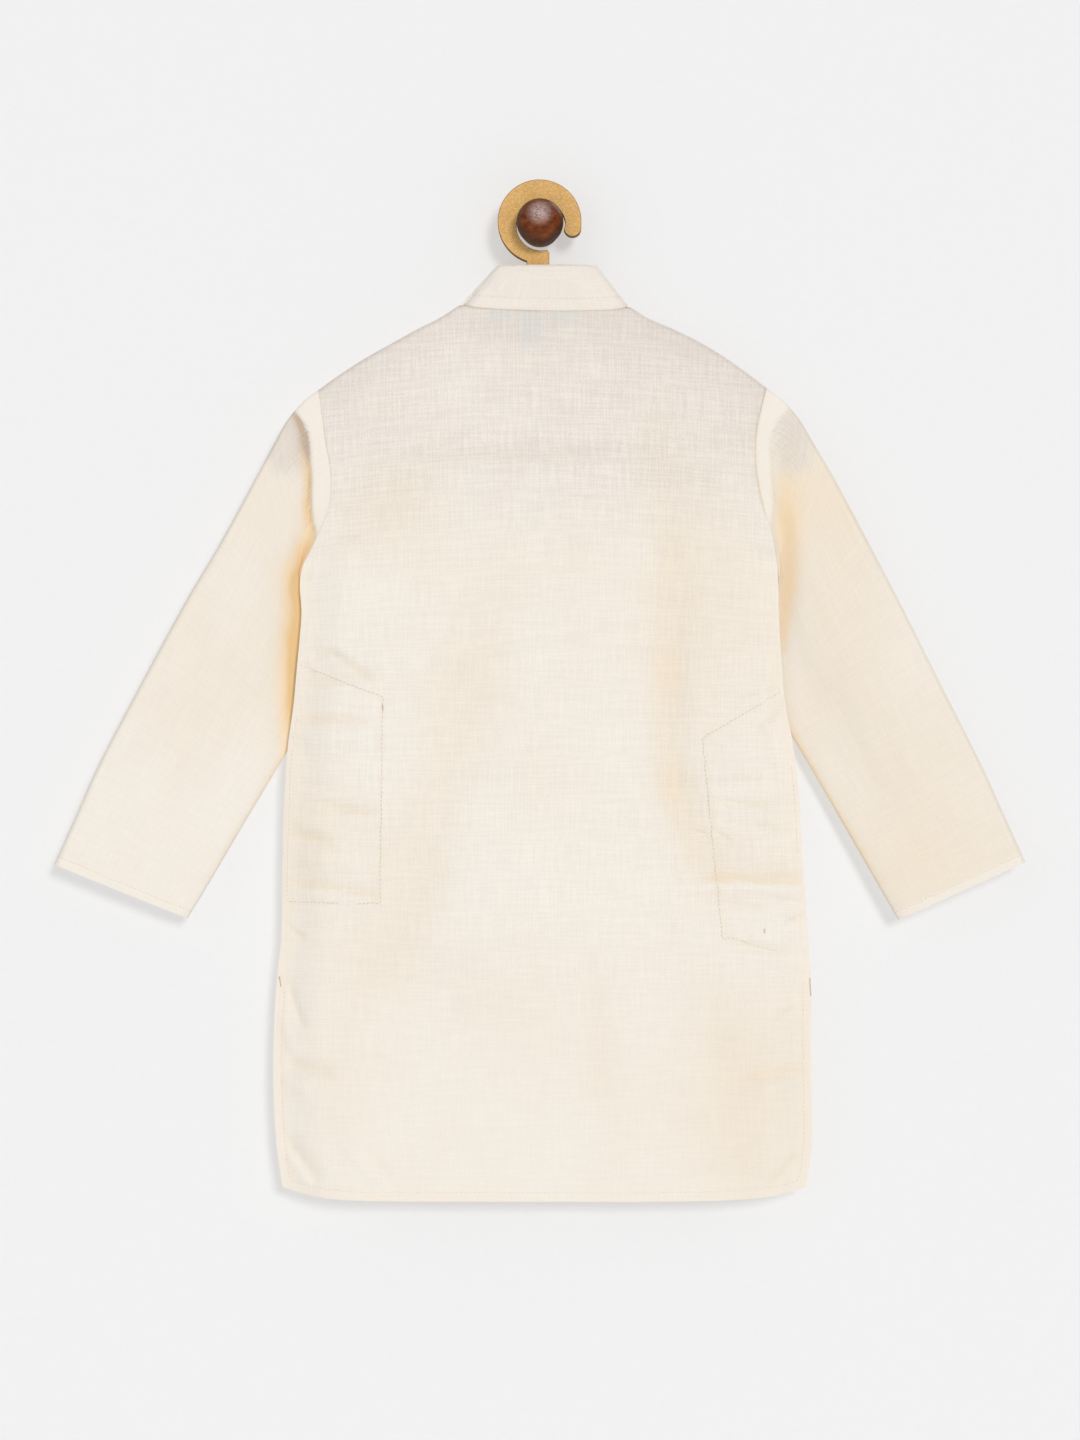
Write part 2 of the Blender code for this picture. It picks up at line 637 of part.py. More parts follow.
def collar_ring(share, out):
    """One level of the stand-up band, from its neck edge, share 0, to its top, share 1."""
    step = 180 / NECK_STEPS
    turns = [COLLAR_FRONT_GAP, *np.arange(step, 360, step), 360 - COLLAR_FRONT_GAP]
    turn = np.radians(turns)
    front = np.cos(turn) > 0
    edge_x = NECK_CENTRE_X + NECK_HALF_WIDTH * np.sin(turn)
    edge_z = np.where(front, top_line(edge_x, FRONT), top_line(edge_x, BACK))
    back_low = half_depth(edge_x, edge_z, BACK) - CLOSED
    front_low = half_depth(edge_x, edge_z, FRONT) - CLOSED
    low_x = edge_x - COLLAR_INSET * np.sin(turn)
    low_z = edge_z + COLLAR_LIFT
    low_y = np.where(front, front_low, -back_low)
    low_y = np.where(np.abs(np.cos(turn)) < 1e-6, 0.0, low_y)
    high_x = COLLAR_TOP_CENTRE_X + COLLAR_TOP_HALF_WIDTH * np.sin(turn)
    high_z = COLLAR_TOP_Z - COLLAR_FRONT_DROP * np.maximum(np.cos(turn), 0.0)
    blunt = np.abs(np.cos(turn)) ** COLLAR_TOP_POWER
    high_y = COLLAR_TOP_DEPTH * np.sign(np.cos(turn)) * blunt
    loop = np.stack([blend(low_x, high_x, share), blend(low_y, high_y, share)], axis=-1)
    tangent = np.gradient(loop, axis=0)
    spot = loop + out * unit(np.stack([-tangent[:, 1], tangent[:, 0]], axis=-1))
    return stack(spot[:, 0], MIDDLE_Y + spot[:, 1], blend(low_z, high_z, share))


def collar():
    shares = np.linspace(0, 1, COLLAR_ROWS)
    inner = np.stack([collar_ring(share, 0.0) for share in shares], axis=1)
    outer = np.stack([collar_ring(share, COLLAR_CLOTH) for share in shares], axis=1)
    return wall("collar", inner, outer, "cotton")


# ---------------------------------------------------------------- hanger and knob
def arc(centre_x, centre_z, radius, start, end, steps):
    """Points on a circle, in degrees from +X towards +Z."""
    turn = np.radians(np.linspace(start, end, steps + 1))
    return list(zip(centre_x + radius * np.cos(turn), centre_z + radius * np.sin(turn)))


def hook_outline():
    """The hook from the right edge of its neck, round its eye and tip, to the left edge."""
    inner_x, _, inner_r = HOOK_INNER
    outer_x, _, outer_r = HOOK_OUTER
    reach = BOARD_NECK_RIGHT_X - HOOK_MOUTH_STEP - inner_x
    mouth = -np.degrees(np.arccos(reach / inner_r))
    leave = -180 + np.degrees(np.arccos((outer_x - BOARD_NECK_LEFT_X) / outer_r))
    return [
        (BOARD_NECK_RIGHT_X, HOOK_MOUTH_CORNER_Z),
        *arc(*HOOK_INNER, mouth, HOOK_INNER_END, 22),
        *arc(*HOOK_TIP, *HOOK_TIP_ARC, 8),
        *arc(*HOOK_OUTER, HOOK_OUTER_START, 360 + leave, 30),
    ]


def board_top(side):
    """The board's top edge on one side, from its flare out to its rounded end."""
    end_x = BOARD_LEFT_END_X if side < 0 else BOARD_RIGHT_END_X
    neck_x = BOARD_NECK_LEFT_X if side < 0 else BOARD_NECK_RIGHT_X
    x = np.linspace(neck_x + side * BOARD_FLARE, end_x - side * BOARD_END_RADIUS, 9)
    inside = np.minimum(x - NECK_LEFT_X, NECK_RIGHT_X - x)
    z = np.where(inside > 0, min(NECK_LEFT_Z, NECK_RIGHT_Z) - CLOTH, top_line(x, BACK) - CLOTH)
    end_run = side * end_x - BOARD_END_RADIUS - BOARD_END_DROP_FROM
    z = z - BOARD_END_DROP * ease((np.abs(x) - BOARD_END_DROP_FROM) / end_run)
    z = z - BOARD_NECK_DROP * (1 - ease(-inside / BOARD_NECK_DROP_OVER))
    return x, z - BOARD_DROP


def board_side(side):
    """One arm of the board from the flare to the middle of its lower edge, as (x, z) points."""
    x, z = board_top(side)
    end_x = x[-1]
    end_z = BOARD_END_LOWER_Z + BOARD_END_RADIUS
    turns = np.radians(np.linspace(BOARD_END_FROM, -90, 9))
    end = [
        (end_x + side * BOARD_END_RADIUS * np.cos(t), end_z + BOARD_END_RADIUS * np.sin(t))
        for t in turns
    ]
    lower_x = np.linspace(end_x, end_x * BOARD_LOWER_UP_TO, 7)[1:]
    lower_z = blend(BOARD_LOWER_Z, BOARD_END_LOWER_Z, ease(np.abs(lower_x / end_x)))
    neck_x = BOARD_NECK_LEFT_X if side < 0 else BOARD_NECK_RIGHT_X
    return [(neck_x, BOARD_NECK_LOWER_Z), *zip(x, z), *end, *zip(lower_x, lower_z)]


def hanger():
    right = board_side(1)
    left = board_side(-1)
    outline = [*hook_outline(), *left, *reversed(right)]
    half = BOARD_THICKNESS / 2
    return extruded("hanger", outline, MIDDLE_Y - half, MIDDLE_Y + half, "board")


def wall_knob():
    """Stem from the wall, a slight neck, and a ball that keeps the hanger on."""
    joint = np.degrees(np.arcsin(KNOB_NECK_RADIUS / KNOB_BALL_RADIUS))
    start = KNOB_STEM_LENGTH + KNOB_NECK_LENGTH
    centre = start + KNOB_BALL_RADIUS * np.cos(np.radians(joint))
    turn = np.radians(np.linspace(180 - joint, KNOB_FACE_TURN, 9))
    ball = [
        (-centre - KNOB_BALL_RADIUS * np.cos(t), KNOB_BALL_RADIUS * np.sin(t)) for t in turn
    ]
    profile = [(0.0, KNOB_STEM_RADIUS), (-KNOB_STEM_LENGTH, KNOB_STEM_RADIUS), *ball]
    return turned("wall_knob", profile, (0.0, 0.0, 0.0), "knob", KNOB_SIDES)


# ---------------------------------------------------------------- the whole part
def clear_scene():
    for found in list(bpy.data.objects):
        bpy.data.objects.remove(found, do_unlink=True)


def build():
    clear_scene()
    body_panel("back_panel", BACK)
    body_panel("front_panel", FRONT)
    sleeve("sleeve_left", SLEEVE_LEFT, side_left, -1)
    sleeve("sleeve_right", SLEEVE_RIGHT, side_right, 1)
    collar()
    placket()
    for number, drop in enumerate(BUTTON_DROPS, start=1):
        button(number, drop)
    pocket_bag("pocket_left", 0)
    pocket_bag("pocket_right", 1)
    label("neck_label", 0)
    label("size_label", 1)
    hanger()
    wall_knob()


build()
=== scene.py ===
"""Looks of a child's kurta tunic on a flat wooden hanger that hangs from a turned wall knob.

+Z is up, +X is to the viewer's right and the wall is the plane Y = 0, with everything in front of
it at Y < 0. The tunic's back faces the viewer and its front faces the wall. Sizes are in
millimetres until a mesh is written. Each piece of cloth is a thin shell on the form of its solid,
with its creases, hems and stitches worked into the mesh.
"""

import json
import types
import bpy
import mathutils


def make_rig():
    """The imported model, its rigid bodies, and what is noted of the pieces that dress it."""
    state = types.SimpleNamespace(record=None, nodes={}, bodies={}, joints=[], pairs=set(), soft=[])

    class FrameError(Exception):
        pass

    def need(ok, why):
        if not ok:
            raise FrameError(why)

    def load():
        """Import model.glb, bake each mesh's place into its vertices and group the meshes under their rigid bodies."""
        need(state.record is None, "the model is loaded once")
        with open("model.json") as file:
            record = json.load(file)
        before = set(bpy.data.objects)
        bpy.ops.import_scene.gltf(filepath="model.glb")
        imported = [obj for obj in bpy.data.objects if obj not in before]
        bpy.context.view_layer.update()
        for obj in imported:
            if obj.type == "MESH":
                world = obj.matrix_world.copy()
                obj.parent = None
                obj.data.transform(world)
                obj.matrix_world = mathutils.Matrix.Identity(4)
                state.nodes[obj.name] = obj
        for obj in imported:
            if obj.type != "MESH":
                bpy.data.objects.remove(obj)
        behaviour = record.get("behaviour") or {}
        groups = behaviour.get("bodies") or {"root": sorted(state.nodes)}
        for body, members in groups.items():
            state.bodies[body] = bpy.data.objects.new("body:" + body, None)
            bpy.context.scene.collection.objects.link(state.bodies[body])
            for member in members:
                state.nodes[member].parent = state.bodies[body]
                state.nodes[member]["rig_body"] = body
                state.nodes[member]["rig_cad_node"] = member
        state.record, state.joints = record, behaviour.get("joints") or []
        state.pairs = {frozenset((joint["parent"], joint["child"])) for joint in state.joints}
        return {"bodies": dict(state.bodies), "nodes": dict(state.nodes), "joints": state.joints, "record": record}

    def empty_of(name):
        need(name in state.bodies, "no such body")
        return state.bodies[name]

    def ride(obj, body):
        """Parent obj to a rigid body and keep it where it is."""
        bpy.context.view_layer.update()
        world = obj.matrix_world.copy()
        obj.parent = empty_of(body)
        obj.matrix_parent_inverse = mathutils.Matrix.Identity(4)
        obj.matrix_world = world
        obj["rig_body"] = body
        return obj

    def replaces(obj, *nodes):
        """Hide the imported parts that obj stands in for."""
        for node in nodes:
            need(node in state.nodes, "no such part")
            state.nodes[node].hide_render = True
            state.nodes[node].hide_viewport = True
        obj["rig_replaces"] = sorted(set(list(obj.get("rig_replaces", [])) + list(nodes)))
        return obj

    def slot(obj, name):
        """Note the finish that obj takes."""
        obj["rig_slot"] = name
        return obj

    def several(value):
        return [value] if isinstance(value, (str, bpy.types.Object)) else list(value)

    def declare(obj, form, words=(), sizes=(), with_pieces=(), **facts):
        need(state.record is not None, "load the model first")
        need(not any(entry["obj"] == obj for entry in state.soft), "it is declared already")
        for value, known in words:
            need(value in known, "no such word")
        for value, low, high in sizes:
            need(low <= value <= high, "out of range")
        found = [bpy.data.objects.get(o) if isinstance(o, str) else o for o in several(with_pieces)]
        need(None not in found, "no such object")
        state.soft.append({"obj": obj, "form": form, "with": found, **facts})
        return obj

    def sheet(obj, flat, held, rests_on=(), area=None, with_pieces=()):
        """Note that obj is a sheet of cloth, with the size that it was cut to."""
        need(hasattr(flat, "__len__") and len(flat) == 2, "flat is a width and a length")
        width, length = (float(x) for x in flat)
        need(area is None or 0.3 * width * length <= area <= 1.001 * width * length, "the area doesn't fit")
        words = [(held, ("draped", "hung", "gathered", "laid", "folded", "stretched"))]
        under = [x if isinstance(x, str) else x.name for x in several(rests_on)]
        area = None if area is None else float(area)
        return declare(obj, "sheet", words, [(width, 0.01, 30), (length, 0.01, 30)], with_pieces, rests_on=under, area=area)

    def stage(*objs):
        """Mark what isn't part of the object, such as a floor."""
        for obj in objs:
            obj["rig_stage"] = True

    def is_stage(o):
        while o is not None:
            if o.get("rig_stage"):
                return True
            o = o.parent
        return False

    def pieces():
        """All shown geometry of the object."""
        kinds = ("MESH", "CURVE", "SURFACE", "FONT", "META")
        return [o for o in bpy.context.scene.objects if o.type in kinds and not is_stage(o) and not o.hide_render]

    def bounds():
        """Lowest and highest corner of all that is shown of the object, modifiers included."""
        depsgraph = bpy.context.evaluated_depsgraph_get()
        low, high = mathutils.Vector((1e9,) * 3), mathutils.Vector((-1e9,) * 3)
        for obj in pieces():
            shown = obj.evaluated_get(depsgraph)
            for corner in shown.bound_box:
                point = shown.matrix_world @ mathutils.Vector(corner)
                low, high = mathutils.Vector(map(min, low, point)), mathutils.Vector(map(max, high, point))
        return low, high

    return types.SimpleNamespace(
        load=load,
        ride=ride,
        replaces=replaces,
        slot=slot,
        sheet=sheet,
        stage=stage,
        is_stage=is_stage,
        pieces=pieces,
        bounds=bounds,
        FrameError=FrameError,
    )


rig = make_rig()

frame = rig.load()

import json
import logging
from dataclasses import dataclass
from enum import Enum

import bpy
import numpy as np

CAD_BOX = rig.bounds()
SIZE_FILE = "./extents.json"
LOG = logging.getLogger("kurta")
MM = 0.001
BODY = "root"

Array = np.ndarray
Table = dict[str, np.ndarray]
Colour = tuple[float, float, float]
Line = tuple[Array, Array]  # points of a stitched line, and the outward direction at each
Material, Object, Socket = bpy.types.Material, bpy.types.Object, bpy.types.NodeSocket


class Face(Enum):
    """The side of the middle plane that a face of the tunic lies on."""

    BACK = -1
    FRONT = 1


class Side(Enum):
    """Left or right of someone who faces the wall."""

    LEFT = -1
    RIGHT = 1


# ---------------------------------------------------------------- curves and small helpers
def table(columns: str, *rows: tuple[float, ...]) -> Table:
    """Returns {column name: its values down the rows}."""
    return dict(zip(columns.split(), np.array(rows, float).T))


def smooth(x: Array, y: Array, at: Array) -> Array:
    """A cubic through the points (x, y), with their own central slopes, level past the ends."""
    order = np.argsort(x)
    x, y = x[order], y[order]
    slope = np.gradient(y, x)
    i = np.clip(np.searchsorted(x, at) - 1, 0, len(x) - 2)
    step = x[i + 1] - x[i]
    t = np.clip((at - x[i]) / step, 0.0, 1.0)
    start = (1 + 2 * t) * (1 - t) ** 2 * y[i] + t * (1 - t) ** 2 * step * slope[i]
    end = t**2 * (3 - 2 * t) * y[i + 1] + t**2 * (t - 1) * step * slope[i + 1]
    return start + end


def ease(t: Array) -> Array:
    """0 to 1 with level ends: 3tt - 2ttt, held outside 0 to 1."""
    t = np.clip(t, 0.0, 1.0)
    return t * t * (3 - 2 * t)


def rounded(t: Array) -> Array:
    """A quarter circle from 0 up to 1."""
    t = np.clip(t, 0.0, 1.0)
    return np.sqrt(1 - (1 - t) ** 2)


def bell(t: Array) -> Array:
    """1 at 0, falling away to each side as exp(-tt)."""
    return np.exp(-np.square(t))


def blend(a: Array, b: Array, t: Array) -> Array:
    """a at t = 0 and b at t = 1, in proportion between."""
    return a + (b - a) * t


def unit(vectors: Array) -> Array:
    """The vectors along the last axis, each brought to length 1."""
    return vectors / np.maximum(np.linalg.norm(vectors, axis=-1, keepdims=True), 1e-9)


def stack(x: Array, y: Array, z: Array) -> Array:
    """Points from three broadcast coordinates."""
    return np.stack(np.broadcast_arrays(x, y, z), axis=-1)


def value_noise(x: Array, y: Array, seed: int) -> Array:
    """Smooth noise from -1 to 1: random values on a unit lattice, eased across each cell.

    Args:
        x: First coordinate, in lattice steps.
        y: Second coordinate, in lattice steps.
        seed: Picks the lattice.

    Returns:
        The noise at each place.
    """
    size = 64
    lattice = np.random.default_rng(seed).uniform(-1, 1, (size, size))
    x, y = np.broadcast_arrays(x, y)
    i, j = np.floor(x).astype(int), np.floor(y).astype(int)
    u, v = ease(x - i), ease(y - j)
    low = blend(lattice[i % size, j % size], lattice[(i + 1) % size, j % size], u)
    high = blend(lattice[i % size, (j + 1) % size], lattice[(i + 1) % size, (j + 1) % size], u)
    return blend(low, high, v)


@dataclass(frozen=True)
class Waves:
    """Uneven waves: their height, their size across and along, and what picks them."""

    height: float
    wide: float
    tall: float
    seed: int

    def at(self, x: Array, z: Array) -> Array:
        """Their height at each place."""
        return self.height * value_noise(x / self.wide, z / self.tall, self.seed)


def walk(path: Array, pitch: float) -> tuple[Array, Array]:
    """Places at an even pitch along a path of points, and the direction there."""
    steps = np.linalg.norm(np.diff(path, axis=0), axis=1)
    reach = np.concatenate([[0.0], np.cumsum(steps)])
    at = np.arange(pitch / 2, reach[-1], pitch)
    places = np.stack([np.interp(at, reach, values) for values in path.T], axis=-1)
    ahead = np.stack([np.interp(at + 0.3, reach, values) for values in path.T], axis=-1)
    behind = np.stack([np.interp(at - 0.3, reach, values) for values in path.T], axis=-1)
    return places, unit(ahead - behind)


# ---------------------------------------------------------------- the tunic's form
CLOTH = 0.6  # thickness of the shells
TWO_LAYERS = 0.45  # what a folded hem or a seam allowance adds
SWAY = Waves(1.1, 95, 120, 11)  # of the loose lower part off the middle plane
PANEL_RIPPLES = (Waves(0.3, 34, 42, 3), Waves(0.16, 13, 17, 4))
SLEEVE_RIPPLES = (Waves(0.35, 30, 38, 5), Waves(0.14, 12, 14, 6))
ALLOWANCE_RIPPLES = Waves(0.3, 6, 9, 9)
POCKET_PULL = Waves(0.6, 5.5, 5.5, 21)  # of the stitches on the cloth
HEM_PULL = {"panel": Waves(0.5, 4.5, 4.5, 22), "cuff": Waves(0.5, 4.5, 4.5, 23)}
BODY_SHADE, SLEEVE_SHADE = Waves(0.16, 26, 14, 31), Waves(0.15, 12, 12, 36)  # unevenness of the painted shade of the board behind the cloth
# unevenness of the plain warm tints, and of the painted warm glow in the sleeves' hollows
BODY_WARMTH, SLEEVE_WARMTH = Waves(1.0, 60, 75, 35), Waves(0.45, 50, 60, 37)
VALLEY_WARMTH = Waves(0.2, 9, 16, 33)
HEM_STEP = 1.5  # width of the step at a hem's inner edge
BOARD_CLEAR = 4.65  # least half depth over the board
EDGE_STRIP = 1.5  # along the side seams, without anything of the pockets
MIDDLE_Y = -20.0

SIDE_EDGES = table(
    "z left right",
    (-109.5, -146.5, 149.5),  # shoulder tips
    (-143, -141.9, 142.6),
    (-170, -137.9, 143.8),  # the armholes' deepest point
    (-186, -138.6, 147),
    (-205, -145, 152.4),
    (-217, -151.6, 155.2),
    (-227, -156.6, 156.6),  # underarms
    (-260, -157.6, 157.8),
    (-292, -160.4, 159.6),
    (-318, -162.8, 162),
    (-345, -166.4, 167.2),
    (-381, -168.8, 171.4),
    (-421, -170, 173.8),
    (-474, -171.2, 177.4),
    (-501, -174, 179.4),  # tops of the side slits
    (-540, -176, 179.2),
    (-580, -175.8, 179.8),
    (-612, -173.6, 179.6),
    (-637, -169.8, 175.8),
)
SHOULDERS = table(
    "left_x left_z right_x right_z",
    (-146.5, -110, 149.5, -108.5),
    (-132.7, -100.1, 137.9, -99.6),
    (-116.8, -89.8, 123.4, -89.3),
    (-97.7, -79, 106.3, -78.8),
    (-80, -69.2, 85.1, -68.4),
    (-65, -61.6, 70, -61.8),
    (-52.6, -53.4, 59.4, -55),
)
DEPTHS = table(
    "z half",
    (-60, 5.3),
    (-150, 5.3),
    (-190, 6.2),
    (-260, 7.6),
    (-380, 8.6),
    (-500, 8.2),
    (-580, 8.4),
    (-646, 9.2),
)
BROAD_FOLDS = {
    Face.BACK: table(
        "upper_x upper_z lower_x lower_z width rise",
        (-33, -250, -79, -421, 27, -2.3),
        (-79, -400, -104, -500, 25, -1.9),
        (-2, -300, -32, -560, 30, 1.4),
        (84, -215, 82, -355, 18, -1.8),
        (82, -340, 116, -440, 16, -1.8),
        (40, -420, 58, -650, 24, 1.5),
        (-128, -520, -122, -650, 16, 1.6),
        (128, -500, 134, -650, 16, -1.4),
    ),
    Face.FRONT: table(
        "upper_x upper_z lower_x lower_z width rise",
        (-62, -240, -84, -430, 20, -1.8),
        (58, -260, 88, -470, 22, -1.8),
        (-30, -380, -44, -650, 24, 1.6),
        (24, -330, 30, -640, 20, -1.4),
        (98, -470, 110, -650, 18, 1.6),
        (-118, -480, -124, -650, 18, -1.4),
    ),
}


@dataclass(frozen=True)
class TunicForm:
    """The tunic's outline and depth as functions of place, shared by every piece sewn to it."""

    closed: float = 0.06  # half depth where the two faces meet
    shoulder_round: float = 5.0
    underarm_z: float = -226.0
    slit_top_z: float = -501.0
    armhole_closing: float = 41.0
    armhole_ease: float = 16.0
    pressed: tuple[float, float] = (32.0, 70.0)  # flat strips along the side seams, back and front
    neck_x: float = 3.4
    neck_half_width: float = 56.0
    neck_left_z: float = -53.4
    neck_right_z: float = -55.0
    neck_fullness: float = 3.6
    neck_fullness_drop: float = 60.0
    neck_slope: float = 0.6
    neck_ease: float = 6.0
    neck_drop: tuple[float, float] = (4.0, 40.0)  # back and front
    wall: float = 1.0  # of the solids, under whose outer line the shells stay
    hem_z: float = -645.6
    hem_corner_rise: float = 8.6
    hem_corner_power: int = 7
    folds_from_side: float = 40.0
    fold_fade: float = 0.3
    fold_end: float = 1.25
    hem_width: float = 5.9
    sway_from_z: float = -300.0  # below it the tunic sways a little off its middle plane
    sway_over: float = 160.0

    @property
    def neck_left_x(self) -> float:
        """Left end of the neck edge."""
        return self.neck_x - self.neck_half_width

    @property
    def neck_right_x(self) -> float:
        """Right end of the neck edge."""
        return self.neck_x + self.neck_half_width

    def side(self, z: Array, side: Side) -> Array:
        """x of one side edge at height z."""
        return smooth(SIDE_EDGES["z"], SIDE_EDGES[side.name.lower()], z)

    def from_side(self, x: Array, z: Array) -> Array:
        """Distance in from the nearer side edge."""
        return np.minimum(x - self.side(z, Side.LEFT), self.side(z, Side.RIGHT) - x)

    def in_neck(self, x: Array) -> Array:
        """How far across the neck x lies, from -1 to 1, held at the ends."""
        return np.clip((x - self.neck_x) / self.neck_half_width, -1.0, 1.0)

    def top_line(self, x: Array, face: Face) -> Array:
        """Height of the outer edge: along the shoulders, and an ellipse round this face's neck."""
        left = smooth(SHOULDERS["left_x"], SHOULDERS["left_z"], x)
        right = smooth(SHOULDERS["right_x"], SHOULDERS["right_z"], x)
        level = blend(self.neck_left_z, self.neck_right_z, (self.in_neck(x) + 1) / 2)
        drop = self.neck_drop[face is Face.FRONT]
        neck = level - drop * np.sqrt(1 - self.in_neck(x) ** 2)
        return np.where(x < self.neck_left_x, left, np.where(x > self.neck_right_x, right, neck))

    def cloth_top(self, x: Array, face: Face) -> Array:
        """Height of a panel's inner edge, under the cloth's own thickness along the shoulders."""
        inside = np.minimum(x - self.neck_left_x, self.neck_right_x - x)
        return self.top_line(x, face) - self.wall * (1 - ease(inside / self.neck_ease))

    def hem(self, u: Array) -> Array:
        """Height of the hem across the width, u from 0 to 1, with its corners rising."""
        return self.hem_z + self.hem_corner_rise * np.abs(2 * u - 1) ** self.hem_corner_power

    def above_hem(self, x: Array, z: Array) -> Array:
        """Height of a place above the hem."""
        left, right = self.side(z, Side.LEFT), self.side(z, Side.RIGHT)
        return z - self.hem((x - left) / (right - left))

    def under_shoulder(self, x: Array, z: Array) -> Array:
        """How far a point lies below the shoulder line, which runs on upwards across the neck."""
        inside = np.maximum(np.minimum(x - self.neck_left_x, self.neck_right_x - x), 0.0)
        level = blend(self.neck_left_z, self.neck_right_z, 0.5)
        line = np.where(inside > 0, level, self.top_line(x, Face.BACK))
        return line + self.neck_slope * inside - self.wall - z

    def broad_folds(self, x: Array, z: Array, face: Face) -> Array:
        """The large soft folds: a bell across each one that fades towards its two ends."""
        relief = np.zeros(np.broadcast(x, z).shape)
        for upper_x, upper_z, lower_x, lower_z, width, rise in zip(*BROAD_FOLDS[face].values()):
            run = np.array([lower_x - upper_x, lower_z - upper_z])
            length = np.hypot(*run)
            along = ((x - upper_x) * run[0] + (z - upper_z) * run[1]) / length**2
            across = ((x - upper_x) * run[1] - (z - upper_z) * run[0]) / length
            fade = ease(along / self.fold_fade) * ease((self.fold_end - along) / self.fold_fade)
            relief = relief + rise * bell(across / width) * fade
        return relief

    def half_depth(self, x: Array, z: Array, face: Face) -> Array:
        """Distance from the middle plane to the inside of this face's cloth."""
        from_side = self.from_side(x, z)
        up = z - self.underarm_z
        armhole = rounded(up / self.armhole_closing) * ease(up / self.armhole_ease)
        flat = self.pressed[face is Face.FRONT]
        across = 1 - (1 - armhole) * (1 - ease(from_side / flat))
        below = self.top_line(x, face) - z
        middle = 1 - self.in_neck(x) ** 2
        fullness = self.neck_fullness * middle * (1 - ease(below / self.neck_fullness_drop))
        depth = smooth(DEPTHS["z"], DEPTHS["half"], z) + fullness
        shape = rounded(self.under_shoulder(x, z) / self.shoulder_round) * across
        folds = self.broad_folds(x, z, face) * ease(from_side / self.folds_from_side)
        return self.closed + (depth - self.closed) * shape + folds

    def middle(self, x: Array, z: Array) -> Array:
        """y of the middle plane, which sways a little in the loose lower part of both faces."""
        loose = ease((self.sway_from_z - z) / self.sway_over)
        return MIDDLE_Y + loose * SWAY.at(x, z)


FORM = TunicForm()


def hem_relief(depth: Array, x: Array, z: Array, pull: Waves) -> Array:
    """Doubled cloth on a hem and the dip along its stitches, where depth past them is 0.

    Args:
        depth: Distance in from the stitched line.
        x: Places' x.
        z: Places' z.
        pull: How unevenly the stitches pull.

    Returns:
        Height off the plain form, outwards.
    """
    doubled = 0.22 * (1 - ease((depth + 0.6) / 1.2))
    return doubled - 0.24 * (0.75 + pull.at(x, z)) * bell(depth / 0.9)


# ---------------------------------------------------------------- creases
@dataclass(frozen=True)
class Creases:
    """Creases placed one by one: each a leaning bell carried along a bowed line.

    A row runs from its start to its end. bow pushes its middle sideways, width is its half width,
    lean widens it to one side and narrows it to the other, and rise is outwards if positive.
    """

    rows: Table
    gain: float = 1.0  # on the narrow ones' rise
    end_fade: float = 0.27

    def relief(self, x: Array, z: Array) -> Array:
        """Height of all the creases together at each place."""
        total = np.zeros(np.broadcast(x, z).shape)
        for x0, z0, x1, z1, bow, width, lean, rise in zip(*self.rows.values()):
            run = np.array([x1 - x0, z1 - z0])
            length = np.hypot(*run)
            t = ((x - x0) * run[0] + (z - z0) * run[1]) / length**2
            off = ((z - z0) * run[0] - (x - x0) * run[1]) / length - 4 * bow * t * (1 - t)
            wide = width * (1 + lean * np.sign(off))
            fade = ease(t / self.end_fade) * ease((1 - t) / self.end_fade)
            total = total + rise * (self.gain if width < 6 else 1.0) * bell(off / wide) * fade
        return total


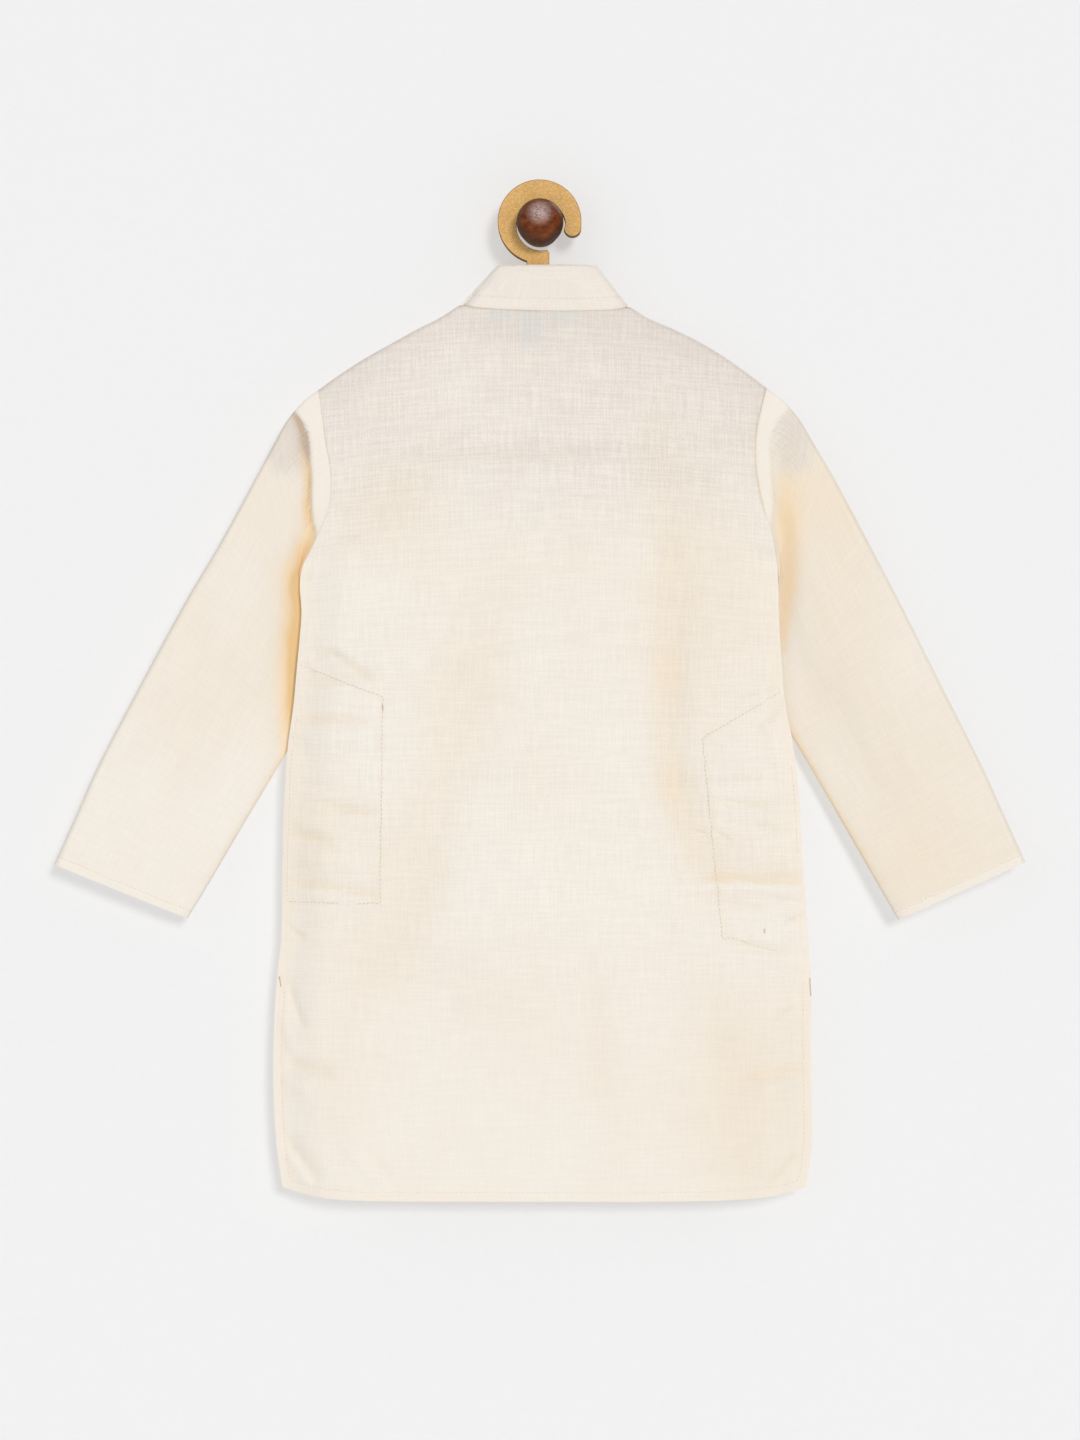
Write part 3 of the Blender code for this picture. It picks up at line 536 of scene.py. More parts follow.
CREASE_COLUMNS = "start_x start_z end_x end_z bow width lean rise"
BACK_CREASES = Creases(
    table(
        CREASE_COLUMNS,
        # Above the left pocket, drawn up by its slanted stitching.
        (-153, -290, -130, -285, 2, 3.4, 0.2, -1.3),
        (-141, -283, -109, -309, 2.5, 3.2, 0.3, -1.5),
        (-152, -277, -118, -291, 3, 5, 0, 0.9),
        (-126, -301, -104, -310, 0, 3.2, 0, 0.8),
        (-160, -289, -147, -300, 0, 1.7, 0, -1),
        # Across the left pocket.
        (-162, -309.5, -118, -305, 2.4, 2.8, 0.3, -0.8),
        (-157, -316, -122, -315, 1.8, 3.6, 0, 0.9),
        (-164, -330.5, -110, -331, 1.4, 2.8, 0.45, -1.5),
        (-163, -339.5, -108, -341, 1.2, 4.2, -0.2, 1.5),
        (-163, -353, -124, -356.5, 1, 3.4, 0.2, -0.5),
        (-150, -362, -108, -360, 1, 3.2, 0, 0.7),
        (-164, -371, -132, -377, 1.5, 2.8, 0.4, -0.6),
        (-148, -383, -106, -391.5, -1.2, 3.2, 0.3, -1.3),
        (-132, -394, -107, -399, 0, 3.2, 0, 0.9),
        (-168, -404.5, -134, -413.5, 1.4, 3, 0.4, -0.8),
        (-164, -397, -136, -402, 1, 3, 0, 0.7),
        (-166, -422, -110, -427, 1, 5.8, 0, 1.2),
        (-169, -438, -104, -447, 2.4, 2.8, 0.5, -1.1),
        (-169, -443.5, -104, -452, 2.4, 3, 0, 0.8),
        (-170, -464, -154, -474, 0, 2, 0.2, -1.2),
        # The slit's top and the lower left corner.
        (-167, -498, -154, -536, -1.5, 3, 0.2, -1.2),
        (-170, -516, -160, -552, -2, 4, 0, 0.8),
        (-171, -556, -133, -565, 1.5, 4.6, 0.3, -1.6),
        (-172, -567, -150, -575, 1.5, 4.2, 0, 0.9),
        (-170, -598, -141, -635, -3, 5, 0.2, -1.3),
        (-166, -612, -150, -637, -1.5, 4.2, 0, 0.8),
        (-132, -604, -101, -640, 0, 3.6, 0, 0.8),
        (-118, -606, -94, -636, 0, 4.2, 0, -0.6),
        # Under the arms.
        (-137, -211.5, -117, -209.5, 1.2, 1.5, 0.2, -0.9),
        (-132, -217.5, -108, -213, 1.2, 2.2, 0, -0.6),
        (-159, -226, -153, -238, 1, 1.4, 0, -1.3),
        (-79, -112, -140, -136, 3, 9, 0, -0.5),
        # The long hollow from the right shoulder to the pocket.
        (72, -100, 88, -258, -3, 13, 0.3, -1.3),
        (86, -190, 82, -330, -1, 14, 0.4, -1.1),
        (82, -270, 84, -405, -1, 13.5, 0.4, -1.6),
        (80, -350, 110, -438, -4, 11, 0.4, -1.5),
        (101, -250, 100, -380, 0, 8, 0, 0.8),
        # Above and across the right pocket.
        (124, -320, 149, -310, 1.2, 2, 0, -0.9),
        (148, -311, 161, -306, 0.5, 1.3, 0.2, -1.4),
        (148, -328, 162, -315, 0.5, 3.6, 0, 1.5),
        (142, -337, 160, -327, 1, 2, 0.2, -1.2),
        (109, -337, 126, -348, 0, 2.8, 0, 1),
        (118, -359, 158, -357, 1.5, 3, 0, 0.5),
        (108, -372, 158, -369, 1.4, 2.6, 0.3, -0.9),
        (110, -381, 156, -385.5, -1.2, 2.4, 0.3, -1.1),
        (112, -388, 158, -393, -1.2, 3.2, 0, 0.8),
        (140, -399, 172, -406.5, 0.8, 3.2, 0.3, -1.2),
        (101, -402.5, 112, -403.5, 0, 1.3, 0, -1),
        (114, -402, 127, -410, 0.6, 1.5, 0.2, -1.2),
        (118, -411, 146, -409, -0.8, 1.6, 0, -0.8),
        (122, -417, 170, -420, 0.5, 4.5, 0, 0.9),
        (97, -434.6, 190, -437.2, 0.2, 4.2, 0.6, -0.85),
        (97, -438.2, 190, -441, 0.2, 3.6, -0.4, 0.95),
        (140, -446, 180, -455, 2.5, 2.4, 0.3, -1),
        (160, -462.6, 181, -457.6, -0.4, 1.4, 0.3, -1.7),
        (152, -456, 180, -452, -0.4, 2.6, 0, 0.9),
        (120, -452, 150, -453, 1, 1.8, 0, -0.7),
        (124, -476, 172, -484, 1, 3.2, 0, -1),
        # The lower right part.
        (170, -518, 154, -528, 0, 3, 0, -0.8),
        (122, -571, 180, -560, 1.5, 4.2, 0.4, -1.1),
        (128, -578, 176, -568, 1.5, 4, 0, 1),
        (144, -640, 174, -612, -1.5, 3.6, 0, -1.1),
        (114, -478, 119, -614, 2, 6, 0, -0.9),
        (128, -486, 134, -606, 2, 7, 0, 0.6),
        # The middle.
        (-70, -156, 34, -154, -1, 3.2, 0.3, -0.7),
        (-30, -205, -66, -372, 5, 22, 0, -0.7),
        (-62, -350, -98, -520, 3, 20, 0, -0.6),
        (34, -470, 36, -600, 2, 9, 0, -0.8),
        (30, -200, 26, -480, 4, 14, 0, 0.6),
    ),
    gain=1.25,
)
PAINTED_FOLD_SHADE = Creases(  # painted warm shade on the folds' sides: here rise is how much of it a side takes
    table(
        CREASE_COLUMNS,
        (104, -435.4, 192, -438, 0.2, 3.6, 0.88, 0.23),
        (102, -438, 193, -440.6, 0.2, 2, 0.3, -0.16),
        (-168, -446, -104, -454, 2.4, 3, 0, -0.05),
        (-160, -340, -110, -341.5, 1.4, 3.6, 0, -0.05),
        (-171, -438.5, -100, -447.4, 2.4, 2.8, 0.8, 0.1),
        (-166, -331, -108, -331.5, 1.4, 2.4, 0.75, 0.09),
        (-150, -382.5, -104, -391.5, -1.2, 3.2, 0.6, 0.06),
        (-168, -404, -130, -413.5, 1.4, 3.6, 0.6, 0.09),
        (-164, -306, -116, -302, 2.4, 3, 0.6, 0.06),
        (-142, -284.5, -106, -309.5, 2.5, 2.6, 0.7, 0.07),
        (104, -381, 162, -385.5, -1.2, 3, 0.6, 0.06),
        (118, -571, 182, -560, 1.5, 6, 0.5, 0.05),
    ),
    end_fade=0.12,
)
FRONT_CREASES = Creases(
    table(
        CREASE_COLUMNS,
        # Beside both pockets.
        (-158, -300, -118, -308, 4, 3, 0.2, -1),
        (-160, -331, -126, -336, -2, 2.4, 0, -0.9),
        (-162, -352, -120, -349, 1, 3.4, 0, 0.7),
        (-164, -384, -130, -392, -1.5, 2.4, 0.2, -1),
        (-165, -422, -118, -434, 3, 2.6, 0.2, -1.1),
        (158, -318, 120, -326, -3, 2.8, 0.2, -1),
        (164, -360, 126, -352, 1, 3.2, 0, 0.7),
        (168, -396, 128, -409, 2, 2.2, 0.2, -1),
        (172, -441, 116, -434, -2, 2.4, 0.3, -1.3),
        (172, -449, 122, -442, -2, 3.4, 0, 0.9),
        # From the underarms towards the chest.
        (-150, -222, -84, -190, 5, 5, 0, -1.1),
        (-152, -240, -98, -228, 4, 6, 0, 0.8),
        (152, -222, 92, -184, -6, 5, 0, -1.1),
        (154, -246, 104, -232, -4, 6, 0, 0.8),
        # Down from the placket and towards the hem.
        (-14, -236, -34, -330, 4, 6, 0, -0.9),
        (18, -240, 44, -350, -4, 7, 0, -0.9),
        (-96, -470, -104, -632, 3, 7, 0, -0.9),
        (66, -500, 60, -638, -3, 8, 0, -0.8),
        (-170, -560, -130, -570, 2, 4.4, 0, -0.9),
        (-166, -600, -132, -638, -3, 4.8, 0, -1),
        (174, -580, 140, -592, -2, 4.4, 0, -0.9),
        (170, -612, 142, -640, 2, 4.2, 0, -0.9),
    )
)


# ---------------------------------------------------------------- meshes
INNER_STEP = 3  # the inner side of a shell has every third point of its outer side


def mesh_object(name: str, points: Array, faces: list[Array], finish: Material) -> Object:
    """One object from points in millimetres and arrays of equal-sided faces.

    Args:
        name: The object's name.
        points: One row of x, y and z for each vertex.
        faces: Arrays of vertex numbers, each with one face a row.
        finish: The piece's material.

    Returns:
        The linked object, smooth with its sharp edges marked.
    """
    if signed_volume(points, faces) < 0:
        faces = [block[:, ::-1] for block in faces]
    loops = np.concatenate([block.ravel() for block in faces])
    sizes = np.concatenate([np.full(len(block), block.shape[1]) for block in faces])
    mesh = bpy.data.meshes.new(name)
    mesh.vertices.add(len(points))
    mesh.vertices.foreach_set("co", (points * MM).astype(np.float32).ravel())
    mesh.loops.add(len(loops))
    mesh.loops.foreach_set("vertex_index", loops.astype(np.int32))
    mesh.polygons.add(len(sizes))
    mesh.polygons.foreach_set("loop_start", (np.cumsum(sizes) - sizes).astype(np.int32))
    mesh.update(calc_edges=True)
    mesh.validate()
    mesh.shade_smooth()
    mesh.set_sharp_from_angle(angle=np.radians(50))
    mesh.materials.append(finish)
    return linked(name, mesh)


def linked(name: str, data: bpy.types.ID) -> Object:
    """A new object in the scene, untransformed."""
    made = bpy.data.objects.new(name, data)
    bpy.context.collection.objects.link(made)
    return made


def coarse(points: Array) -> Array:
    """Every third point of a grid, each way."""
    return points[::INNER_STEP, ::INNER_STEP]


def signed_volume(points: Array, faces: list[Array]) -> float:
    """Volume inside the faces, positive where they face outwards: a sum of tetrahedra."""
    total = 0.0
    for block in faces:
        first = points[block[:, 0]]
        for k in range(1, block.shape[1] - 1):
            second, third = points[block[:, k]], points[block[:, k + 1]]
            total += float(np.einsum("ij,ij->", first, np.cross(second, third))) / 6
    return total


def quads(ids: Array) -> Array:
    """The four-sided faces between the neighbours of a grid of vertex numbers."""
    corners = [ids[:-1, :-1], ids[1:, :-1], ids[1:, 1:], ids[:-1, 1:]]
    return np.stack(corners, axis=-1).reshape(-1, 4)


def rim(fine: Array, under: Array) -> Array:
    """Six-sided faces from an edge's fine points to the coarse ones under it, three steps to one."""
    step = INNER_STEP
    sides = [under[:-1], under[1:], fine[step::step], fine[2::step], fine[1::step], fine[:-1:step]]
    return np.stack(sides, axis=-1)


@dataclass
class Shell:
    """A closed piece of cloth between a fine outer grid and a coarse inner one.

    Attributes:
        name: The piece's name.
        outer: Outer points by column and row, one less than a multiple of three steps each way.
        inner: Inner points, every third of the outer grid's.
        weave: Place of each outer point on the flat cloth, in millimetres across and along.
        marks: Colour at each outer point: painted shade of the board and seams, the labels' tint, warm tints with
            painted warm shade and glow, and doubled cloth.
        wrapped: Whether the last column closes on the first. weave then has one column more.
    """

    name: str
    outer: Array
    inner: Array
    weave: Array
    marks: Array
    wrapped: bool = False

    def build(self, finish: Material) -> Object:
        """Makes the object, with its weave as a UV map and its marks as a colour attribute.

        Args:
            finish: The cloth's material.

        Returns:
            The linked object.
        """
        outer, inner, marks = self.outer, self.inner, self.marks
        if self.wrapped:
            outer, inner, marks = (np.concatenate([a, a[:1]]) for a in (outer, inner, marks))
        fine = np.arange(outer.shape[0] * outer.shape[1]).reshape(outer.shape[:2])
        under = fine.size + np.arange(inner.shape[0] * inner.shape[1]).reshape(inner.shape[:2])
        rims = [rim(fine[:, 0], under[:, 0]), rim(fine[:, -1], under[:, -1])[:, ::-1]]
        if not self.wrapped:
            rims += [rim(fine[-1], under[-1]), rim(fine[0], under[0])[:, ::-1]]
        faces = [np.concatenate([quads(fine), quads(under)[:, ::-1]]), np.concatenate(rims)]
        points = np.concatenate([outer.reshape(-1, 3), inner.reshape(-1, 3)])
        weave, marks = (
            np.concatenate([a.reshape(-1, a.shape[-1]), coarse(a).reshape(-1, a.shape[-1])])
            for a in (self.weave, marks)
        )
        if signed_volume(points, faces) < 0:
            faces = [block[:, ::-1] for block in faces]
        used = np.arange(len(points))
        if self.wrapped:
            used[fine[-1]] = fine[0]
            used[under[-1]] = under[0]
        kept, place = np.unique(used, return_inverse=True)
        corners = np.concatenate([block.ravel() for block in faces])
        made = mesh_object(self.name, points[kept], [place[block] for block in faces], finish)
        mesh = made.data
        layer = mesh.uv_layers.new(name="weave")
        layer.uv.foreach_set("vector", (weave[corners] * MM).astype(np.float32).ravel())
        shown = mesh.attributes.new("marks", "FLOAT_COLOR", "POINT")
        shown.data.foreach_set("color", marks[kept].astype(np.float32).ravel())
        return made


def grid_normals(points: Array, wrapped: bool = False) -> Array:
    """Unit normals of a grid of points, as across x along."""
    if wrapped:
        across = np.roll(points, -1, axis=0) - np.roll(points, 1, axis=0)
    else:
        across = np.gradient(points, axis=0)
    return unit(np.cross(across, np.gradient(points, axis=1)))


def face_normals(points: Array, face: Face) -> Array:
    """Unit normals of a grid of points on one face of the tunic, outwards."""
    normals = grid_normals(points)
    return normals * np.sign(normals[..., 1:2]) * face.value


def half_area(made: Object) -> float:
    """Half of a closed shell's surface, in square metres."""
    areas = np.empty(len(made.data.polygons))
    made.data.polygons.foreach_get("area", areas)
    return float(areas.sum()) / 2


def declared(made: Object, slot: str, *nodes: str) -> Object:
    """Puts a piece on the body, in its material slot and in the place of CAD nodes."""
    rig.ride(made, BODY)
    if nodes:
        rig.replaces(made, *nodes)
    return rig.slot(made, slot)


def hung(
    made: Object,
    flat: tuple[float, float],
    area: float,
    node: str,
    rests_on: str = "hanger_board",
    slot: str = "cotton",
    stitches: tuple[Object, ...] = (),
) -> Object:
    """Hands a sheet of hung cloth to the frame.

    Args:
        made: The sheet.
        flat: Width and length of the piece as it was cut, in millimetres.
        area: Its flat area, in square millimetres.
        node: The CAD node that it stands for.
        rests_on: The piece that carries it.
        slot: Its material slot.
        stitches: Pieces that go with it.

    Returns:
        The sheet.
    """
    declared(made, slot, node)
    size = (flat[0] * MM, flat[1] * MM)
    with_it = {"with_pieces": list(stitches)} if stitches else {}
    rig.sheet(made, flat=size, held="hung", rests_on=[rests_on], area=area * MM * MM, **with_it)
    LOG.info("%s: %d faces, %.4f m2", made.name, len(made.data.polygons), half_area(made))
    return made


# ---------------------------------------------------------------- stitches
@dataclass(frozen=True)
class Stitches:
    """Rows of lockstitch: short thread humps along a line, joined into one piece."""

    pitch: float = 2.9
    length: float = 2.1
    width: float = 0.36
    height: float = 0.22
    sunk: float = 0.1
    stray: float = 0.18  # how far a stitch wanders off its line

    def row(self, path: Array, outward: Array, seed: int) -> tuple[Array, Array]:
        """Points and faces of one row.

        Args:
            path: Points of the line on the cloth's surface.
            outward: The surface's unit normal at each of them.
            seed: Picks how the stitches stray.

        Returns:
            Vertices, and four-sided faces that number them.
        """
        both, _ = walk(np.hstack([path, outward]), self.pitch)
        places, up = both[:, :3], unit(both[:, 3:])
        _, ahead = walk(path, self.pitch)
        count = min(len(places), len(ahead))
        places, up, ahead = places[:count], up[:count], ahead[:count]
        side = unit(np.cross(up, ahead))
        rng = np.random.default_rng(seed)
        places = places + side * rng.normal(0, self.stray, (count, 1))
        length = self.length * rng.uniform(0.85, 1.1, (count, 1))
        spots = []
        for t, share in ((-0.5, 0.25), (-0.2, 1.0), (0.2, 1.0), (0.5, 0.25)):
            spine = places + ahead * length * t
            low, high = -self.sunk, self.height * share
            reach = self.width / 2 * (0.55 + 0.45 * share)
            spots += [spine + side * reach + up * low, spine + side * reach * 0.6 + up * high]
            spots += [spine - side * reach * 0.6 + up * high, spine - side * reach + up * low]
        rings = [(0, 1, 2, 3), (15, 14, 13, 12)]
        for ring in (0, 4, 8):
            rings += [(ring + k, ring + 4 + k, ring + 4 + (k + 1) % 4, ring + (k + 1) % 4) for k in range(4)]
        points = np.stack(spots, axis=1).reshape(-1, 3)
        faces = np.array(rings)[None] + 16 * np.arange(count)[:, None, None]
        return points, faces.reshape(-1, 4)

    def build(self, name: str, lines: list[Line], finish: Material) -> Object:
        """One piece from all the rows.

        Args:
            name: The piece's name.
            lines: Path and normals of each row.
            finish: The thread's material.

        Returns:
            The linked object, which rides on the body.
        """
        points, faces, count = [], [], 0
        for number, (path, outward) in enumerate(lines):
            spots, sides = self.row(path, outward, number)
            points.append(spots)
            faces.append(sides + count)
            count += len(spots)
        made = mesh_object(name, np.concatenate(points), [np.concatenate(faces)], finish)
        LOG.info("%s: %d stitches", name, count // 16)
        return declared(made, "cotton")


# ---------------------------------------------------------------- body panels
POCKETS = {
    Side.LEFT: dict(top_side_z=-296.0, top_inner_z=-313.3, bottom_side_z=-448.5,
                    bottom_inner_z=-449.5, top_inner_x=-103.6, bottom_inner_x=-105.6),
    Side.RIGHT: dict(top_side_z=-313.0, top_inner_z=-340.4, bottom_side_z=-480.5,
                     bottom_inner_z=-472.4, top_inner_x=106.9, bottom_inner_x=120.1),
}
LABELS = {"neck_label": (-33.0, 25.0, -62.5, -76.0), "size_label": (-14.5, 3.5, -76.3, -92.0)}
POCKET_SIDE_GAP = 11.0
TINTS = (  # left, right, top and bottom of where the labels' colour shows through the back
    (-33.4, -19, -55, -66),
    (-13.4, 1.5, -55, -83),
    (7, 26.3, -55, -66.5),
)


@dataclass(frozen=True)
class PocketForm:
    """Outline of a pocket bag: its slanted top, inner edge and bottom, open towards the side."""

    side: Side
    top_side_z: float
    top_inner_z: float
    bottom_side_z: float
    bottom_inner_z: float
    top_inner_x: float
    bottom_inner_x: float

    def corners(self) -> Array:
        """(x, z) of the top at the side, top inner, bottom inner and bottom at the side."""
        top_x, bottom_x = (
            float(FORM.side(np.array(z), self.side)) - self.side.value * POCKET_SIDE_GAP
            for z in (self.top_side_z, self.bottom_side_z)
        )
        return np.array(
            [
                (top_x, self.top_side_z),
                (self.top_inner_x, self.top_inner_z),
                (self.bottom_inner_x, self.bottom_inner_z),
                (bottom_x, self.bottom_side_z),
            ]
        )

    def inside(self, x: Array, z: Array) -> Array:
        """Distance in from the nearest of the three sewn edges, negative outside the bag."""
        spots = self.corners()
        depth = np.full(np.broadcast(x, z).shape, np.inf)
        for a, b in zip(spots[:-1], spots[1:]):
            run = b - a
            across = ((z - a[1]) * run[0] - (x - a[0]) * run[1]) / np.hypot(*run)
            depth = np.minimum(depth, across * self.side.value)
        return depth


POCKET_FORMS = {side: PocketForm(side, **sizes) for side, sizes in POCKETS.items()}
POCKET_SEAMS = (  # (x, z) along each stitched line
    ((-158.8, -292.0), (-132.0, -302.4), (-103.6, -313.3), (-105.6, -449.5), (-121.0, -449.4)),
    ((-132.5, -449.2), (-166.5, -448.5)),
    (
        (159.0, -310.2), (134.0, -324.6), (106.9, -340.4), (120.1, -472.0),
        (129.4, -472.6), (140.6, -477.2), (156.4, -481.0),
    ),
)
TACKS = (  # short dense bars of thread
    ((-172.4, -498.0), (-171.2, -505.0)),
    ((178.2, -499.0), (179.0, -511.0)),
    ((-103.8, -318.6), (-103.4, -322.4)),
    ((147.6, -466.0), (148.0, -469.4)),
)


@dataclass(frozen=True)
class BoardForm:
    """The hanger board's outline, for its own piece and for the shade of it that is painted on the cloth."""

    thickness: float = 9.0
    drop: float = 4.4
    end_drop: float = 10.0
    end_drop_from: float = 108.0
    neck_drop: float = 3.8
    neck_drop_over: float = 14.0
    lower_z: float = -150.0
    end_lower_z: float = -169.0
    end_radius: float = 18.0
    end_x: tuple[float, float] = (-167.0, 171.5)
    neck_x: tuple[float, float] = (-8.8, 6.1)
    neck_lower_z: float = -50.0
    flare: float = 24.0
    end_from: float = 62.0  # degrees
    chest_level: float = 0.78  # of the board's shade painted on the cloth, as are the next four
    shoulder_level: float = 0.72
    right_level: float = 0.26
    left_paler: float = 0.16
    edge_level: float = 0.42
    edge_z: float = -152.5
    edge_span: tuple[float, float] = (-92.0, 86.0)
    painted_shade_to_z: float = -232.0
    painted_end_shade_at: tuple[float, float] = (167.0, -144.5)
    end_oval: tuple[float, float] = (17.0, 25.0)

    def end_centre_x(self, side: Side) -> float:
        """x of the centre of one rounded end."""
        return self.end_x[side is Side.RIGHT] - side.value * self.end_radius

    def top(self, x: Array, side: Side) -> Array:
        """Height of the top edge at x."""
        inside = np.minimum(x - FORM.neck_left_x, FORM.neck_right_x - x)
        level = min(FORM.neck_left_z, FORM.neck_right_z)
        z = np.where(inside > 0, level, FORM.top_line(x, Face.BACK)) - FORM.wall
        end_run = abs(self.end_centre_x(side)) - self.end_drop_from
        z = z - self.end_drop * ease((np.abs(x) - self.end_drop_from) / end_run)
        return z - self.neck_drop * (1 - ease(-inside / self.neck_drop_over)) - self.drop

    def through_body(self, x: Array, z: Array) -> Array:
        """How much shade of the board is painted on the body: most under the shoulders, less further down.

        Args:
            x: Places' x.
            z: Places' z.

        Returns:
            About 1 beside the shoulders, half that on the chest, and a soft line at its lower edge.
        """
        below = FORM.top_line(x, Face.BACK) - z
        right = self.right_level * ease((x - 24) / 30) * bell(below / 62)
        level = self.chest_level + self.shoulder_level * bell(below / 26) + right
        level = level - self.left_paler * bell((x + 58) / 28)
        start, end = self.edge_span
        inside = ease((x - start) / 26) * ease((end - x) / 26)
        lower = self.edge_level * bell((z - self.edge_z) / 6.5) * inside
        return level * ease((z - self.painted_shade_to_z) / 88) + lower

    def painted_shade_on_sleeve(self, x: Array, z: Array) -> Array:
        """How much shade of the board's rounded end is painted on a sleeve's head: a soft upright oval."""
        (at_x, at_z), (wide, tall) = self.painted_end_shade_at, self.end_oval
        off = np.hypot((np.abs(x) - at_x) / wide, (z - at_z) / tall)
        return ease((1.2 - off) / 0.72)


BOARD = BoardForm()


PAINTED_GLOWS = table(  # soft patches of painted warm shade and glow
    "x z wide tall glow",
    (-96, -178, 36, 24, 0.12),
    (-118, -216, 32, 24, 0.06),
    (-104, -204, 50, 34, 0.05),
    (-136, -390, 28, 26, 0.07),
    (-153, -327, 13, 40, 0.06),
    (-151, -416, 14, 30, 0.07),
    (138, -402, 32, 30, 0.06),
    (160, -426, 18, 10, 0.09),
    (87, -362, 14, 34, 0.03),
    (94, -394, 14, 26, 0.05),
    (88, -586, 60, 50, 0.04),
    (64, -224, 56, 56, 0.045),
    (120, -265, 36, 80, 0.05),
    (60, -600, 46, 36, 0.06),
    (132, -612, 36, 34, 0.05),
    (148, -560, 42, 58, 0.115),
    (-146, -540, 34, 50, 0.05),
    (-52, -330, 30, 60, 0.04),
    (-20, -520, 40, 60, 0.03),
    (100, -200, 34, 60, 0.05),
    (100, -300, 26, 50, 0.05),
    (140, -240, 24, 60, 0.03),
)


@dataclass
class Panel:
    """The front or the back of the body: a shell from the hem to the shoulder seams."""

    name: str
    face: Face
    creases: Creases
    neck_steps: int
    shoulder_steps: int
    body_steps: int
    round_steps: int
    area: float
    flat: tuple[float, float] = (356.0, 594.0)
    over_board_z: float = -173.0  # above it the cloth keeps clear of the board
    seam_allowance: float = 8.6
    seam_step: float = 0.2
    slit_hem: float = 5.6
    pocket_step: float = 0.35
    stitch_dip: float = 0.5
    hem_fade: float = 1.0  # over which doubled cloth at the hem ends
    crease_fade: float = 5.0  # over which creases begin beside a side seam
    ripple_fade: float = 16.0
    top_fade: float = 12.0  # over which both begin under a shoulder seam
    slit_apart: float = 1.1  # how far the slits' edges stand apart
    apart_over: tuple[float, float] = (90.0, 30.0)  # down the slit, and in from its edge
    seam_line: float = 1.0
    bowed: float = 9.8  # how far the weave's rows rise at x = 150 mm, low down
    seam_overlap: float = 0.3  # how far the edge passes the middle plane, so that no gap shows
    # Shares of painted warm shade in folds and seams and of a plain warm tint lower down, then of painted dark shade
    # along the seams, with left and right apart where they differ.
    warm_sunk: float = 0.09
    sunk_depth: float = 2.0
    warm_creased: float = 0.145
    creased_depth: float = 2.4
    warm_from_z: float = -170.0
    warm_plain: float = 0.045
    warm_armhole: tuple[float, float] = (0.08, 0.42)
    warm_collar: float = 0.14
    warm_pocket: float = 0.07
    shade_armhole: tuple[float, float] = (0.15, 1.7)
    shade_collar: tuple[float, float] = (1.6, 0.9)
    hem_dense: float = 0.8
    tint_edge: float = 5.0
    armhole_z: float = -200.0

    def columns(self) -> Array:
        """Places of the columns from the left edge, 0, to the right, 1, closer at the neck's ends."""
        left, right = SHOULDERS["left_x"][0], SHOULDERS["right_x"][0]
        turn = np.linspace(-1, 1, self.neck_steps + 1)
        neck = FORM.neck_x + FORM.neck_half_width * blend(turn, np.sin(turn * np.pi / 2), 0.5)
        left_x = np.linspace(left, neck[0], self.shoulder_steps + 1)[:-1]
        right_x = np.linspace(neck[-1], right, self.shoulder_steps + 1)[1:]
        return (np.concatenate([left_x, neck, right_x]) - left) / (right - left)

    def places(self) -> tuple[Array, Array]:
        """x and z of the grid, by column and by row from the hem up."""
        u = self.columns()[:, None]
        left, right = SHOULDERS["left_x"][0], SHOULDERS["right_x"][0]
        top = FORM.cloth_top(blend(left, right, u), self.face)
        turn = np.linspace(np.pi / 2, 0, self.round_steps + 1)
        fall = FORM.shoulder_round * (1 - np.cos(turn))
        share = np.linspace(0, 1, self.body_steps + 1)
        body = blend(FORM.hem(u), top - FORM.shoulder_round, share)
        z = np.hstack([body, top - fall[1:]])
        return blend(FORM.side(z, Side.LEFT), FORM.side(z, Side.RIGHT), u), z

    def pockets(self, x: Array, z: Array) -> Array:
        """The step of a pocket bag behind the cloth, and the dip of its stitched line."""
        relief = np.zeros(np.broadcast(x, z).shape)
        for side, pocket in POCKET_FORMS.items():
            inside = pocket.inside(x, z)
            within = FORM.from_side(x, z) > EDGE_STRIP
            half = x * side.value > 0
            pull = 0.7 + POCKET_PULL.at(x, z)
            step = self.pocket_step * ease((inside + 1.2) / 1.6)
            dip = self.stitch_dip * pull * bell((inside - 1.6) / 1.1)
            relief = relief + np.where(half & within, step - dip, 0.0)
        return relief

    def hems(self, x: Array, z: Array) -> Array:
        """Doubled cloth at the hem and the slits, with a dip along its stitches."""
        up = FORM.above_hem(x, z)
        inward = FORM.from_side(x, z)
        slit = ease((FORM.slit_top_z - z) / 6)
        depth = np.minimum(up - FORM.hem_width, blend(99.0, inward - self.slit_hem, slit))
        return hem_relief(depth, x, z, HEM_PULL["panel"])

    def relief(self, x: Array, z: Array) -> Array:
        """Everything that stands off the panel's plain form, outwards."""
        from_side = FORM.from_side(x, z)
        folds = self.creases.relief(x, z) * ease(from_side / self.crease_fade)
        ripple = sum(waves.at(x, z) for waves in PANEL_RIPPLES) * ease(from_side / self.ripple_fade)
        sewn = ease((FORM.underarm_z - z) / 8)
        allowance = self.seam_step * sewn * (1 - ease((from_side - self.seam_allowance) / 1.4))
        below = ease(FORM.under_shoulder(x, z) / self.top_fade)
        total = (folds + ripple) * below + allowance + self.hems(x, z)
        if self.face is Face.BACK:
            total = total + self.pockets(x, z)
        return total

